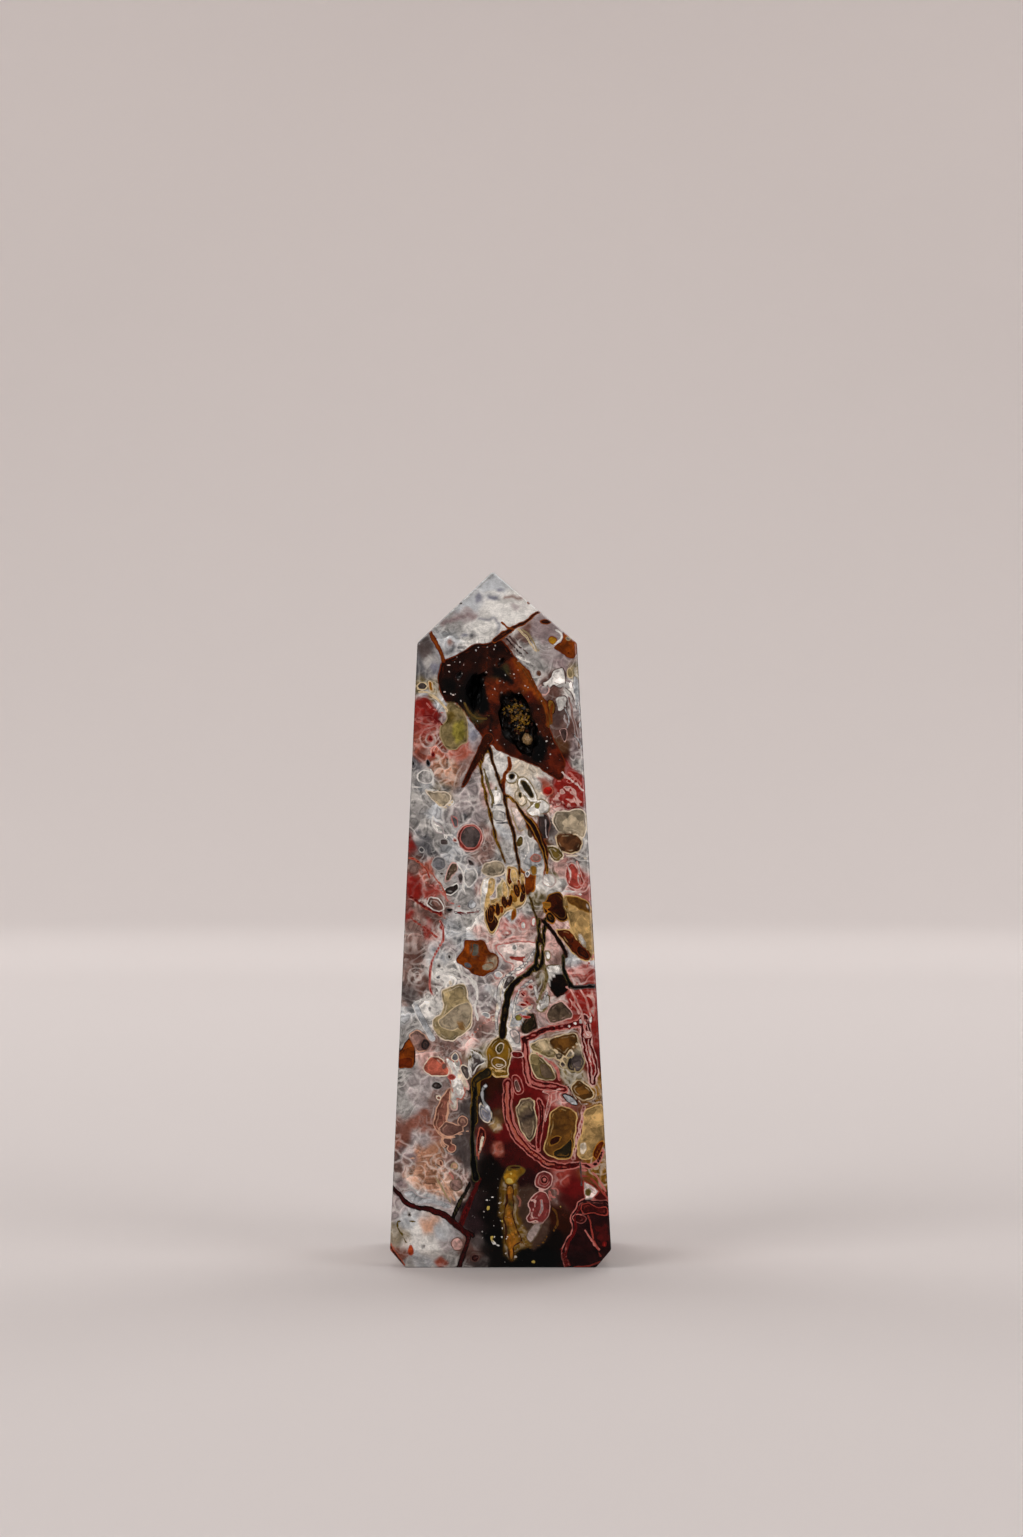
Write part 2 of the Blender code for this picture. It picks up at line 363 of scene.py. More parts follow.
# The ground of the front face: soft clouds of colour between the marks.
FACE_WASHES: tuple[Wash, ...] = (
    Wash(Tone.CLOUD,
        "-1.1,98.4,1.5 -5,95.3,1.5 -7.4,89.4,1.1 -11.4,81.9,0.7 -8.3,80.4,0.7 -10.5,69,0.9 -9.6,65.1,1.1 "
        "-7,60,1.3 0.5,62.2,0.9 4.9,58.7,1.1 -4.1,55,1.3 -5.7,47.7,1.3 1.1,50.1,0.7 -8.7,44.5,0.9 "
        "-6.8,47.8,1.3 -1.1,39.5,0.9 -13.3,36.6,1.1 2,37.3,0.9 10.1,43.9,0.8 13,43.9,0.5 -12.5,10.5,0.9 "
        "-9.8,10,0.8 -12.9,7,1.1 -8.5,5.4,1.1 -11.8,1,1.1"),
    Wash(Tone.SNOW,
        "2.5,95.9,1.3 -1.5,94.6,1.5 -3.7,91.3,1.5 1.4,93.5,1.3 -2.1,90.9,1.1 10.1,83,0.8 -0.6,71.4,1.3 "
        "-0.4,68.1,1.1 -0.4,64.8,1.1 3.8,60.9,1.3 6,69.2,0.9 6.6,55,0.9 8.6,55,0.7 -4.1,49.5,1.3 "
        "-9.4,42.3,0.9 -6.8,42.3,1 -10.7,37.3,1.1 2,33.3,1 -12.5,4.8,1.1 -10.1,3.4,1"),
    Wash(Tone.MIST,
        "-6.8,92.4,1.2 -9.8,86.3,0.9 4.7,88.3,1.1 5.5,85.8,0.9 -11.6,70.3,1.1 -11.8,66.4,1.3 -10.7,63.1,1.1 "
        "-9,61.8,1.3 -1.9,69.9,0.5 0.9,59.6,0.9 11.7,71.9,0.8 12.1,61.8,0.9 11.9,58,0.8 -4.8,53,1.1 "
        "-8.7,56.1,1.1 3.8,51,0.9 -12.2,34.6,0.9 -14,33.8,0.9 -14,27.4,1.1 -13.6,23.7,1.3 -13.6,23.4,1.3 "
        "-7.4,1,1 -12.9,0.4,0.9"),
    Wash(Tone.LILAC_MIST,
        "-4.8,93.5,1.1 2.5,95.3,0.8 7.3,87.8,1.1 11.4,79.3,0.8 -4.3,67.9,1.5 -5,65.5,1.3 -2.8,64.8,1.1 "
        "10.4,64.8,1.1 -7.6,46.1,1.1 -3.2,40.3,1.3 -2.1,38.2,1.3 -12.9,25.9,1.1 -10.7,25.9,1 -0.6,43,0.9 "
        "-11.6,23.2,1.3 -11.6,18.4,1.2 -7.9,9.6,0.8 -14.9,8.1,1 -7.6,3.7,0.9"),
    Wash(Tone.SMOKE,
        "-10.9,88.5,1.1 -13.3,39,0.9 -5.2,22.8,1.1 -5.7,17.5,1.2 -5,15.5,1.1 -3,4.1,0.8 -2.8,0.8,0.8"),
    Wash(Tone.STEEL,
        "-11.4,86.1,1 -12,72.1,0.9 -10.7,60.2,0.9"),
    Wash(Tone.BLUE_GREY,
        "-9,85.4,0.9 -4.1,76.6,1"),
    Wash(Tone.KHAKI,
        "-11.3,83,0.8 4.7,52.3,0.8 7.3,55.6,0.7 -2.8,30.5,0.8 5.8,41.2,0.8 9.7,27.2,0.9"),
    Wash(Tone.BEIGE,
        "-9.6,82.3,0.8 10.8,85.4,0.7"),
    Wash(Tone.RED,
        "-11.2,80.1,1.1 9.7,70.3,1.2 11.7,68.1,0.9 -12.6,54.5,1.1 -13.1,50.6,0.7 -12.9,60.5,0.7 11,38.6,1.1 "
        "13.2,33.8,1.1"),
    Wash(Tone.CRIMSON,
        "-9.6,79,1 13.7,29.8,1.1 2.2,28.7,0.9 2.5,25.2,1 6.9,25.6,1.1 6,23.2,1.1 0,19.3,0.9 10.1,11.8,0.9 "
        "4.7,24.5,1.1 6,20.8,0.9 11,18.2,0.7 14.8,3.9,0.8"),
    Wash(Tone.ROSE,
        "-11.6,77.1,1.3 11,56.1,1.1 -10.1,53.4,0.9 -10.7,48.3,1.1 12.8,41.9,1 13.2,37.3,1 9.1,12.9,0.8"),
    Wash(Tone.SALMON,
        "-10.3,75.1,1.3 -5,73.6,1.1 -11.2,74.1,1.3 -7.4,73.4,1.3 -10.5,56.5,1.1"),
    Wash(Tone.LILAC,
        "-3.2,74.9,1 -7.9,78.2,0.7 6,91.1,1.1 8.8,86.3,0.9 11,74.9,0.9 11,74.1,1 -13.3,16.4,1.3 "
        "-14.4,12.4,1 -14.9,9.8,0.9"),
    Wash(Tone.MAUVE,
        "3.6,90.7,0.9 7.5,83,0.9 9.7,77.1,1.1 0.7,88.9,0.9 -12.2,57.2,0.9 -9.6,49.9,0.9 -12.2,44.5,1.1 "
        "-11.4,40.3,1.1 -5.4,3.2,0.7 -3.7,2.3,0.8 8,9.8,1"),
    Wash(Tone.PLUM_GREY,
        "8.6,79.3,1"),
    Wash(Tone.TAN_BROWN,
        "8.6,74.2,0.9 5.8,60.5,0.8 0,21.9,0.7 -0.6,20.8,0.8"),
    Wash(Tone.PEACH,
        "-7.9,71.2,1.3 -10.7,16,1.3 -8.7,17.1,1.1 -10.1,13.1,1.3"),
    Wash(Tone.PINK_GREY,
        "-5,72.8,1.1 -2.1,61.3,1.1 -3.2,59.1,1.1 -8.5,52.1,0.9 -11.8,51.5,1.1 -12.7,48.6,1.1 -11.8,46.7,1.3 "
        "-12.9,42.1,1.1 -3.2,33.8,1 -14,37.7,0.7 -7.9,31.1,1 -10.1,23.9,1.1 -5,24.8,0.8 4.7,40.3,1.1 "
        "8.6,44.1,0.9 -9.2,22.3,1.3 -14.2,14.6,1.1 -6.8,15.5,0.9 -5.4,13.5,1"),
    Wash(Tone.BEIGE_GREY,
        "-8.5,67.7,1.1 10.4,31.6,0.9 -14.4,5.4,1"),
    Wash(Tone.PALE_PINK,
        "-1.9,68.1,1.1 2.9,64.8,1.3 9.1,66.6,1 8.4,56.5,0.8 -3.2,54.3,0.8 -9.6,47.9,0.7 -3.2,48.5,0.9 "
        "-1.5,36,1 -10.9,30.5,0.8 -5,32.7,0.9 -0.8,46.3,0.9 3.6,48.3,1.1 0.3,41.4,0.9 7.3,45.4,1.1 "
        "8.2,37.9,0.7 2.9,34.4,0.7"),
    Wash(Tone.IVORY,
        "2.5,69.9,1.3 3.8,66.6,1.3"),
    Wash(Tone.UMBER,
        "8.4,72.8,1 -1.5,26.3,0.9 -0.6,25.9,0.8 7.5,8.1,1 8.6,6.5,1"),
    Wash(Tone.DARK_SMOKE,
        "6,63.1,0.9"),
    Wash(Tone.PINK,
        "12.1,53.4,0.7 3.1,49,1.1 0.3,48.2,0.9 0.9,48.3,1 3.1,39.5,1 10.6,41.9,0.9 7.3,24.3,0.8 8,24.1,0.7"),
    Wash(Tone.ROSE_GREY,
        "-11.2,21.7,1.1 -12.7,20.6,1.3 -14,18.2,1.3 -10.1,20.1,1.1 -14.4,2.1,0.9"),
    Wash(Tone.SOOT,
        "-3.7,25.2,0.8 -2.4,12.9,1.1 -1.1,14.6,1.1 -0.6,11.6,1.1 -1.5,7.6,1.3 -0.6,1.5,1.3 7.7,3.9,1 "
        "8.2,5.2,0.8"),
    Wash(Tone.GARNET,
        "-0.2,24.3,1 -1.5,18.2,1 0.9,16.4,1.1 3.8,14.9,1 2.5,16.2,0.9 9.7,9.8,1 13.7,9.4,1.1 13.9,5.4,1.1"),
    Wash(Tone.PLUM,
        "-3.2,22.8,0.9 -4.1,8.5,1.1 -3.9,6.3,1.1"),
    Wash(Tone.OCHRE,
        "13.9,25.9,0.9 14.8,12.9,0.8 14.3,15.1,0.7"),
    Wash(Tone.PALE_PEACH,
        "-12.5,12.9,1.3 -8.1,11.3,1.1 -10.3,5.9,1"),
    Wash(Tone.BLACK,
        "-0.8,4.3,1.3 2.5,0.8,1.3 6,1.5,1.3"),
    Wash(Tone.WINE,
        "4.2,13.3,0.9 3.3,9.8,0.9 11.2,3.7,1.3 11.2,1.2,1.1 14.1,1.5,1.1"),
)


# The dark stone of the vug: soft clouds of rust and soot; the soot clouds on the pockets are painted shade.
VUG_WASHES: tuple[Wash, ...] = (
    Wash(Tone.DARK_UMBER,
        "-7,84.5,1.1 -7.9,82.8,1.1 -5.4,87.2,1.1 -3.2,88,1.1 -0.6,88,1.1 0.9,80.1,1.1 4.2,79.3,1.1 "
        "0.7,75.3,1.1 4.7,72.7,1.1"),
    Wash(Tone.UMBER,
        "0.7,87.2,1.1 -1.9,86.3,1.1 5.8,79.7,1.1 -0.6,78.4,1.1 -2.4,77.3,1.1 5.8,76.8,1.1 6.9,74.9,1.1"),
    Wash(Tone.RUST,
        "1.8,86.3,1.1 -0.6,82.8,1.1 1.1,83.2,1.1 -0.4,74.2,1.1 2.5,84.5,1.1"),
    Wash(Tone.AMBER,
        "3.1,84.5,1.1 3.8,83,1.1 4.1,83.9,1.1"),
    Wash(Tone.DARK_RUST,
        "0,81.5,1.1 -1.9,80.1,1.1 -1.3,76,1.1 1.6,72.7,1.1 4.9,81.5,1.1 8,73.1,1.1"),
    # Painted shade: soot-black clouds on the pockets' openings.
    Wash(Tone.SOOT,
        "-4.1,83.2,1.3 2.5,80.8,1.1 -4.3,81.5,1.1"),
    Wash(Tone.OLIVE_DARK,
        "-3.7,78.2,0.8 0.3,85,0.9"),
)


SOFT_MARKS: tuple[Mark, ...] = (
    Patch("red_waves", Tone.RED, Tone.RED,
        "8,70.8 9.1,72.8 12,69.5 12.3,65.9 10,65.2 8.2,65.5 6.9,66.1 7.1,67.2 6,68 6.4,68.8 7.5,68.5"),
    Spots("cream_blur", Tone.SAND, Tone.SAND,
        "-0.6,20.5,0.75,0.92"),
    Spots("salmon_spots", Tone.SALMON, Tone.SALMON,
        "-0.4,17,0.92,1.01 -8.5,0.8,0.88,0.83"),
    Patch("brown_oval", Tone.BROWN_SMOKE, Tone.TAN_BROWN,
        "2.3,11.1 3.6,12 4.7,12 6,9.8 6.5,6.5 5.8,4.1 4.7,2.7 3.2,3.4 2.1,4.8 2.3,7.6"),
    Spots("blue_grey_spots", Tone.BLUE_GREY, Tone.STEEL,
        "-3.2,96.1,0.57,0.79 -1,96.1,0.88,0.44 -0.2,97.2,0.44,0.44 -5.3,90.5,0.48,0.29"),
    Veins("snow_veins", Tone.SNOW, Tone.SNOW,
        "-2.1,96.8,0.22 -1.1,97.2,0.26 0.3,96.7,0.26 0.3,95.9,0.26 -0.9,95.3,0.22 -1.9,95.6,0.22 / "
        "0.3,94.6,0.26 1.1,95.5,0.26 2.5,95.5,0.31 3.2,94.9,0.26 2.5,94.1,0.22 / -5.3,91.6,0.35 "
        "-4.3,92.4,0.31 -3.2,92.5,0.31 -2.1,92,0.31 -1.9,91.1,0.26 -3,90.7,0.26 / -0.9,94,0.26 "
        "-1.4,94.6,0.26 -0.6,95.1,0.22 0.3,94.9,0.22 0,96.2,0.18"),
    Veins("cap_shade_a", Tone.PINK_GREY, Tone.PINK_GREY,
        "0.7,96.1,0.35 1.8,96.4,0.4 3.2,95.9,0.35"),
    Veins("cap_shade_b", Tone.LILAC, Tone.LILAC,
        "-8.5,92.3,0.75 -7,92.7,0.66 -5.4,93.5,0.7 -3.9,93.3,0.57"),
    Veins("cap_shade_c", Tone.BLUE_GREY, Tone.BLUE_GREY,
        "-3.2,92.8,0.22 -1.9,93,0.26 -0.5,92.8,0.26 -0.2,91.6,0.31 -0.6,90.5,0.26"),
    Veins("cap_shade_d", Tone.STEEL, Tone.STEEL,
        "-8.3,87.8,0.48 -7,88.3,0.57 -5.7,88.9,0.48"),
    Patch("red_core", Tone.RED, Tone.RED,
        "-12.1,81.3 -10.3,81.7 -9.7,80.1 -8.5,79 -10.1,78.4 -12,79"),
    Spots("steel_spots", Tone.STEEL, Tone.STEEL,
        "-4.1,90.5,0.4,0.35 -5.1,64.4,0.57,0.53 -10.7,61.3,0.88,0.57 -12,62.2,0.53,0.44 -11.2,59.7,0.53,0.4 "
        "-9.6,63.1,0.48,0.35 -7,56.5,0.48,0.66 -7.9,68.4,0.57,0.31"),
    Spots("pink_grey_spots", Tone.PINK_GREY, Tone.PINK_GREY,
        "-7.2,89.4,0.48,0.4 -12.6,57.3,0.83,0.83 -11.6,49.5,1.1,0.79 -10.1,55.8,0.57,0.53"),
    Patch("red_edge_mass", Tone.RED, Tone.RED,
        "-13.6,56.1 -12,55.6 -11.2,53.4 -12,52.1 -13.5,53.2"),
    Patch("orange_patch", Tone.SALMON, Tone.SALMON,
        "5.3,70.1 6.9,69.9 7.7,68.1 7.3,66.9 6.2,67.5"),
    Patch("brown_shelf", Tone.BROWN_SMOKE, Tone.BROWN_SMOKE,
        "2.5,11.6 3.8,11.1 4.7,7.6 7.3,7.2 6.6,4.3 4.7,3 2.5,4.5 2,7.6"),
    Patch("gold_haze", Tone.OLIVE_GOLD, Tone.OLIVE_GOLD,
        "0,12.7 2.5,12.4 2.2,9.8 2.5,7.6 4.7,3.2 2.5,3 2,1.2 0.9,1.2 0.3,3.7 0.7,5.4 -0.2,8.1"),
    Patch("red_fan", Tone.RED, Tone.RED,
        "9.3,39 11.2,39.4 13,39 13.7,38.2 13.7,35.5 11.9,35.5 10.6,36.6 9.9,37.7"),
)


BED_MARKS: tuple[Mark, ...] = (
    Veins("crimson_right", Tone.CRIMSON, Tone.PALE_PINK,
        "12,35.5,1.32 12.2,33.8,1.54 12.3,32,1.36 12.8,30.2,1.45 13.3,28.5,1.41 13.1,26.6,1.1"),
    Veins("glitter_vein", Tone.OLIVE_DARK, Tone.SOOT,
        "-4.3,12.2,0.35 -5.9,9.4,0.48 -6.7,7.6,0.44 -7,6.6,0.26"),
    Veins("red_flank", Tone.CRIMSON, Tone.GARNET,
        "-3,12.9,0.35 -3.8,10.9,0.53 -4.7,8.9,0.66 -5.4,7,0.75 -5.9,5.9,0.66"),
    Veins("brown_rim", Tone.RUST, Tone.SALMON,
        "-15.8,3.6,0.35 -15.2,2.3,0.44 -14.3,1.1,0.4 -13.7,0.5,0.26"),
    Veins("gold_stem", Tone.OLIVE_GOLD, Tone.UMBER,
        "1.3,12,0.88 1.3,10.2,0.79 1.1,8.5,1.1 1.3,6.7,1.32 1.3,5,1.23 1.4,3.2,0.88 1.6,1.2,0.57"),
    Veins("crimson_veins", Tone.CRIMSON, Tone.PINK,
        "3.3,32.6,0.88 4.7,33.3,0.88 6.4,34.1,0.79 8.2,34.3,0.75 9.9,34.6,0.79 11.7,35.2,0.97 / "
        "3.5,32.2,0.97 3.5,30.7,1.01 3.9,27.6,1.19 4.3,26.3,1.1 7.5,26,1.1 9.1,25.5,0.88 / 1,26.5,1.1 "
        "0.9,23.9,1.14 1.1,21.4,1.14 1.8,19.4,1.1 3.1,17.7,1.05 6.3,15,1.01 8.2,14.6,0.97 10,14.6,0.88 "
        "11.2,14.9,0.66 / 5.5,23.9,0.79 6,22.3,0.88 5.4,18.6,0.66 5.4,17,0.57"),
    Veins("crimson_side", Tone.RED, Tone.PALE_PINK,
        "11.9,23.2,0.4 11.6,21.2,0.4 11.1,19.4,0.4 10.3,15.7,0.4"),
    Veins("crimson_foot", Tone.GARNET, Tone.PINK,
        "11.5,14.8,0.61 12.9,14.6,0.66 14,15.3,0.61 14.5,16.8,0.48"),
)


CELL_MARKS: tuple[Mark, ...] = (
    Patch("vug_jasper", Tone.UMBER, Tone.RUST,
        "-8.3,86.9 -7,87.2 -5,88.3 -4.1,89.1 -3.2,89.3 -2.4,89 0,90 2.9,86.3 4.1,85.3 4.9,83.4 5.8,81.9 "
        "6.6,80.9 7,79.3 6.9,77.5 7.5,75.5 8.6,73.8 9.4,72 8.8,69.6 7.5,70.1 5.5,71.5 1.6,73 -0.6,74 "
        "-1.2,74.9 -1.9,74.6 -2.1,75.3 -6.3,80.8 -7.6,80.7 -8.5,81.9 -9.1,83.7 -8.8,85.4"),
    Patch("amber_corner", Tone.AMBER, Tone.RUST,
        "9.1,91.5 11,89.9 11,88 10.5,87.1 9.7,87.2 7.5,88.7 8.8,89.4"),
    Patch("white_flake_high", Tone.SNOW, Tone.PLUM_GREY,
        "9,85.7 9.1,84.5 7.2,82.9 6.7,82.2 6.2,82.2 6,82.8 6.9,83.6 8.3,85.4"),
    Patch("white_flake_right", Tone.SNOW, Tone.LILAC_MIST,
        "9.1,84.1 10,83.9 10.9,82.6 11.4,80.6 11.2,79.4 10.6,80.6 10.2,82.1 9.5,82.8 8.8,83.2"),
    Spots("lilac_cell", Tone.LILAC, Tone.PALE_PINK,
        "6.2,82.6,0.75,0.7"),
    Patch("ochre_bit", Tone.OCHRE, Tone.UMBER,
        "6.6,81.2 7.7,81 7.8,79.3 7.1,78.8"),
    Patch("yellow_green", Tone.KHAKI, Tone.BEIGE,
        "-7.9,80.6 -6.8,80.7 -5.7,80 -5,78.8 -4.7,76.8 -4.8,75.1 -5.9,74.5 -6.5,74 -7.9,74.2 -8.4,75.3 "
        "-8.8,77.1 -7.6,78.4"),
    Patch("striped_dark", Tone.DARK_SMOKE, Tone.MAUVE,
        "5.3,64.6 6.7,64.9 7.2,63.5 6.8,61.3 6,61.1 5.4,62.4"),
    Patch("grey_window", Tone.BEIGE_GREY, Tone.IVORY,
        "7.6,65.1 9.7,65.2 11.2,65.5 12.2,65.1 12.4,63.1 11.9,61.3 10.1,62.2 8.2,62.2 7.4,63.5"),
    Patch("brown_clast", Tone.TAN_BROWN, Tone.CREAM,
        "7.9,61.9 9.1,62.2 11.2,61.7 11.7,60.8 11.3,59.5 9.8,59.1 8.4,59.5 8,60.7"),
    Patch("olive_striped", Tone.OLIVE, Tone.IVORY,
        "6.5,60.2 7.8,60.2 8.7,59.5 9.1,58.7 8,57.8 7.1,58.4"),
    Spots("eye_one_ring", Tone.SNOW, Tone.KHAKI,
        "1.5,70,0.92,0.83"),
    Patch("eye_two_ring", Tone.SNOW, Tone.KHAKI,
        "2.5,69.9 3.6,70.2 5.2,67.7 5.1,66.5 4.2,66.5 3.1,67.7 2.5,68.8"),
    Patch("eye_three_ring", Tone.IVORY, Tone.KHAKI,
        "2,67.8 2.6,68.4 3.3,67.7 3.8,66.4 3.1,65.9 2.2,66.6"),
    Patch("white_corner", Tone.SNOW, Tone.KHAKI,
        "4.3,66.1 5.8,67 7,66.2 6.9,65.1 5.5,64.6 4.4,64.4 3.6,65.1"),
    Patch("red_low", Tone.ROSE, Tone.PALE_PINK,
        "9.4,57.1 10.2,57.9 11.4,56.5 12,55 11.1,53.8 9.7,54.5 9.3,55.8"),
    Spots("orb_ring", Tone.ROSE, Tone.PALE_PINK,
        "-4.4,61.4,1.84,1.93"),
    Spots("ghost_c", Tone.STEEL, Tone.MIST,
        "-8.8,57.7,1.1,0.97"),
    Patch("cell_a", Tone.BROWN_GREY, Tone.PALE_PINK,
        "-8,55 -7.6,56.7 -7,57.8 -6.3,57.8 -6.1,56.9 -6.8,56.1 -7.4,55.1"),
    Patch("cell_b", Tone.DARK_SMOKE, Tone.SNOW,
        "-8.3,53.8 -7.4,54.4 -6.1,55 -6,54.1 -6.9,53.3 -7.9,53.2"),
    Patch("cell_c", Tone.SMOKE, Tone.LILAC_MIST,
        "-6.3,56 -5.7,56.5 -5.3,56.1 -5.6,54.7 -6.1,55.1"),
    Patch("cell_d", Tone.CLOUD, Tone.SNOW,
        "-5.3,56.7 -3.9,57.2 -3.4,56.5 -4.1,55.2 -5,54.5"),
    Patch("cell_e", Tone.DARK_SMOKE, Tone.LILAC_MIST,
        "-4.8,58.5 -4.1,58.1 -3.6,57.1 -4.4,57.3"),
    Patch("cell_f", Tone.MAUVE, Tone.SNOW,
        "-10.1,53 -8.7,52.6 -7.9,51.2 -9,50.8 -10.7,51.7"),
    Patch("white_kite", Tone.SNOW, Tone.LILAC_MIST,
        "-9.8,64 -8.5,63.1 -7.9,61.8 -9,62 -9.6,62.7"),
    Spots("grey_lobe", Tone.MIST, Tone.SNOW,
        "-10.7,70.1,1.21,0.92,10"),
    Patch("cream_lobe", Tone.BEIGE_GREY, Tone.IVORY,
        "-10.9,68.4 -9.6,67.9 -8.1,68.1 -7,67.3 -7.4,66.4 -8.1,65.7 -9.2,66.2 -10.3,67.3"),
    Patch("beige_lens", Tone.BEIGE_GREY, Tone.IVORY,
        "-2.9,56.5 -2.4,57.6 -0.8,58.2 0.5,57.8 0.8,56.7 0.1,56 -1.4,55.8"),
    Patch("long_cell_a", Tone.SNOW, Tone.IVORY,
        "-2.5,55.6 -1.1,55.8 -1,54.3 -1.8,52.3 -2.8,51 -2.9,53.4"),
    Patch("long_cell_b", Tone.PALE_OLIVE, Tone.IVORY,
        "0.3,55.7 1,54.7 0.6,53.4 -0.2,52.1 -0.6,52.6 -0.6,54.3"),
    Patch("gold_mass", Tone.SAND, Tone.IVORY,
        "0.9,57.4 2,57.2 3.3,55.8 3.8,54.3 3.6,52.1 2.5,51.2 1.1,51 0,50.1 -0.8,47.7 -1.6,47.6 -2.1,48.8 "
        "-2.5,50.8 -2.1,52.8 -1.1,52.6 0,53 0.8,54.7"),
    Patch("rust_column", Tone.RUST, Tone.TAN_BROWN,
        "3.6,55.7 4.3,56.1 5,55.6 4.8,53.9 3.9,53.2 3.1,53.2"),
    Patch("rust_cluster", Tone.UMBER, Tone.OCHRE,
        "6.9,53.2 8.3,53.8 9.1,52.6 9.8,50.4 9.3,49.4 8,49.7 6.9,50.9 6.2,50.5 6,51.7"),
    Patch("ochre_clast", Tone.SAND, Tone.HONEY_CREAM,
        "9.1,53.2 11,53 12.8,52.1 13.3,49.9 13.4,43.8 12.3,44.2 10,48.4 9.5,50.6 8.7,52.3"),
    Patch("amber_patch", Tone.AMBER, Tone.RUST,
        "-5.3,46.8 -2.3,46.7 -1.9,45.4 -0.3,44.5 -0.3,43.2 -1,42.3 -2.1,42 -2.3,41.6 -3.9,41.9 -4.8,42.8 "
        "-6.4,43.7 -5.9,44.8 -5.2,45.4"),
    Patch("beige_clast", Tone.BEIGE, Tone.IVORY,
        "-8.5,39.6 -7.4,40.1 -5.4,40.7 -4.8,39.9 -4.7,38.6 -4.1,37.7 -4,35.5 -4.3,34.2 -5.4,33.3 -7,32.4 "
        "-8.5,32.6 -9.6,34.2 -9.8,35.3 -8.7,36.1 -8.1,37.3 -8.5,38.6"),
    Spots("grey_dot_e", Tone.STEEL, Tone.SNOW,
        "-8.9,41.6,0.57,0.35,10"),
    Patch("edge_amber", Tone.AMBER, Tone.UMBER,
        "-14.7,30.5 -13.1,32.9 -12.6,32.2 -12.1,30.9 -12.4,28.4 -14.7,28.7"),
    Patch("edge_cap", Tone.PINK_GREY, Tone.PALE_PEACH,
        "-13.2,33.2 -12,34 -10.9,33.4 -9.9,32 -10.6,31.1 -11.9,30.9"),
    Patch("salmon_mass", Tone.SALMON, Tone.IVORY,
        "-11.2,28.9 -9.8,30.2 -8.7,30.2 -7.2,28 -7.8,27.4 -9.6,27.4 -10.7,27.8"),
    Patch("white_river", Tone.IVORY, Tone.PALE_PINK,
        "-7.9,30 -7,29.5 -5.9,30 -5.8,28.7 -4.3,25.2 -6.2,26.7 -6.7,26.3 -6.9,25.2 -6.2,24.1 -6.2,22.6 "
        "-7,22.6 -7.3,24.3 -7,27.9"),
    Patch("salmon_bar", Tone.ROSE_GREY, Tone.PALE_PEACH,
        "-7.6,25.6 -6.9,25.9 -7.7,20.8 -8.5,18.8 -9.6,20.4 -9.1,23"),
    Patch("white_patch", Tone.SNOW_PINK, Tone.PINK,
        "-0.9,46.1 2.5,46.5 5.4,46.5 5.6,44.7 4.7,43.6 2.5,41.7 1.6,42.3 2.1,43.2 0.8,43.7 -0.1,44.7"),
    Patch("crust_left", Tone.SMOKE, Tone.SNOW,
        "0.9,41.6 2.5,41.9 1.8,40.8 1,40.1 0.5,39.2 0.3,40.1"),
    Patch("branch_blob", Tone.SOOT, Tone.UMBER,
        "7.1,41.2 8.4,42.1 9.5,41.5 10.1,40.2 9.2,39.2 8,38.5 7,39.9"),
    Patch("rust_blade", Tone.RUST, Tone.HONEY_CREAM,
        "7.7,48.4 9.8,48.3 11.1,46.7 12.2,45.6 13,45.1 12.8,44 11.9,43.8 11,44.3 8.7,46.9"),
    Patch("white_triangle", Tone.SNOW, Tone.MIST,
        "6.4,43.2 8.8,43.2 8.9,42.3 7.3,41.4 6.9,40.2"),
    Patch("white_sliver", Tone.SNOW, Tone.KHAKI,
        "6,38.6 6.8,38.9 6.9,37.7 6,36.4 4.9,36.9"),
    Patch("white_wedge", Tone.SNOW, Tone.KHAKI,
        "6.2,45.1 7,45.2 7.3,44.3 6.5,43.8"),
    Patch("white_notch", Tone.SNOW, Tone.BEIGE,
        "11,47.6 11.8,47.3 12.2,45.8 11.5,46.1"),
    Patch("olive_grey_clast", Tone.BROWN_GREY, Tone.PALE_PINK,
        "6.5,36.4 7.5,37.7 8.8,38.2 10.4,36.4 10.2,35.7 7.1,34.8 6.7,35.5"),
    Patch("dark_clast", Tone.DARK_OLIVE, Tone.MAUVE,
        "2.7,34.2 3.8,36.4 4.9,36.4 5.4,34.4 4.4,33.7 3.3,33.3"),
    Patch("sliver_olive", Tone.CLOUD, Tone.IVORY,
        "1,34.5 1.8,36.4 3.2,36.7 4.3,37.7 4.7,37.5 3.3,36 3,34.6 1.8,34.4"),
    Patch("clast_cream", Tone.KHAKI, Tone.CREAM,
        "4.2,32 5.8,32.6 7,32.8 6.7,32.2 7.3,31.3 8,30.9 7.6,30 6.5,30.2 4.3,31.3"),
    Patch("clast_brown", Tone.OCHRE_BROWN, Tone.CREAM,
        "7.1,32.9 10.9,33.7 11,32.2 10,31.3 9.3,30 8.2,30.9 7.4,31.3 6.7,32.2"),
    Spots("clast_bud_a", Tone.BROWN_GREY, Tone.CREAM,
        "8.3,30.2,0.57,0.53"),
    Spots("smoke_spots", Tone.SMOKE, Tone.CREAM,
        "-11.3,83.1,0.79,0.48 8.9,29.1,0.44,0.4"),
    Patch("clast_dark", Tone.DARK_SMOKE, Tone.BEIGE,
        "9.6,30 10.6,30.4 11.7,30 11.8,28.7 11,27.9 9.8,28.2 9.4,29.1"),
    Patch("clast_pale", Tone.BEIGE_GREY, Tone.IVORY,
        "9.9,31.1 11.2,32.2 11.6,31.5 11.7,30.4 10.4,30.5"),
    Patch("clast_low", Tone.KHAKI, Tone.CREAM,
        "4.1,30.9 5.6,30.4 7.1,28.9 8,27.1 6.9,26.8 5.1,27.1 4.4,28.4"),
    Patch("clast_right", Tone.OCHRE_BROWN, Tone.CREAM,
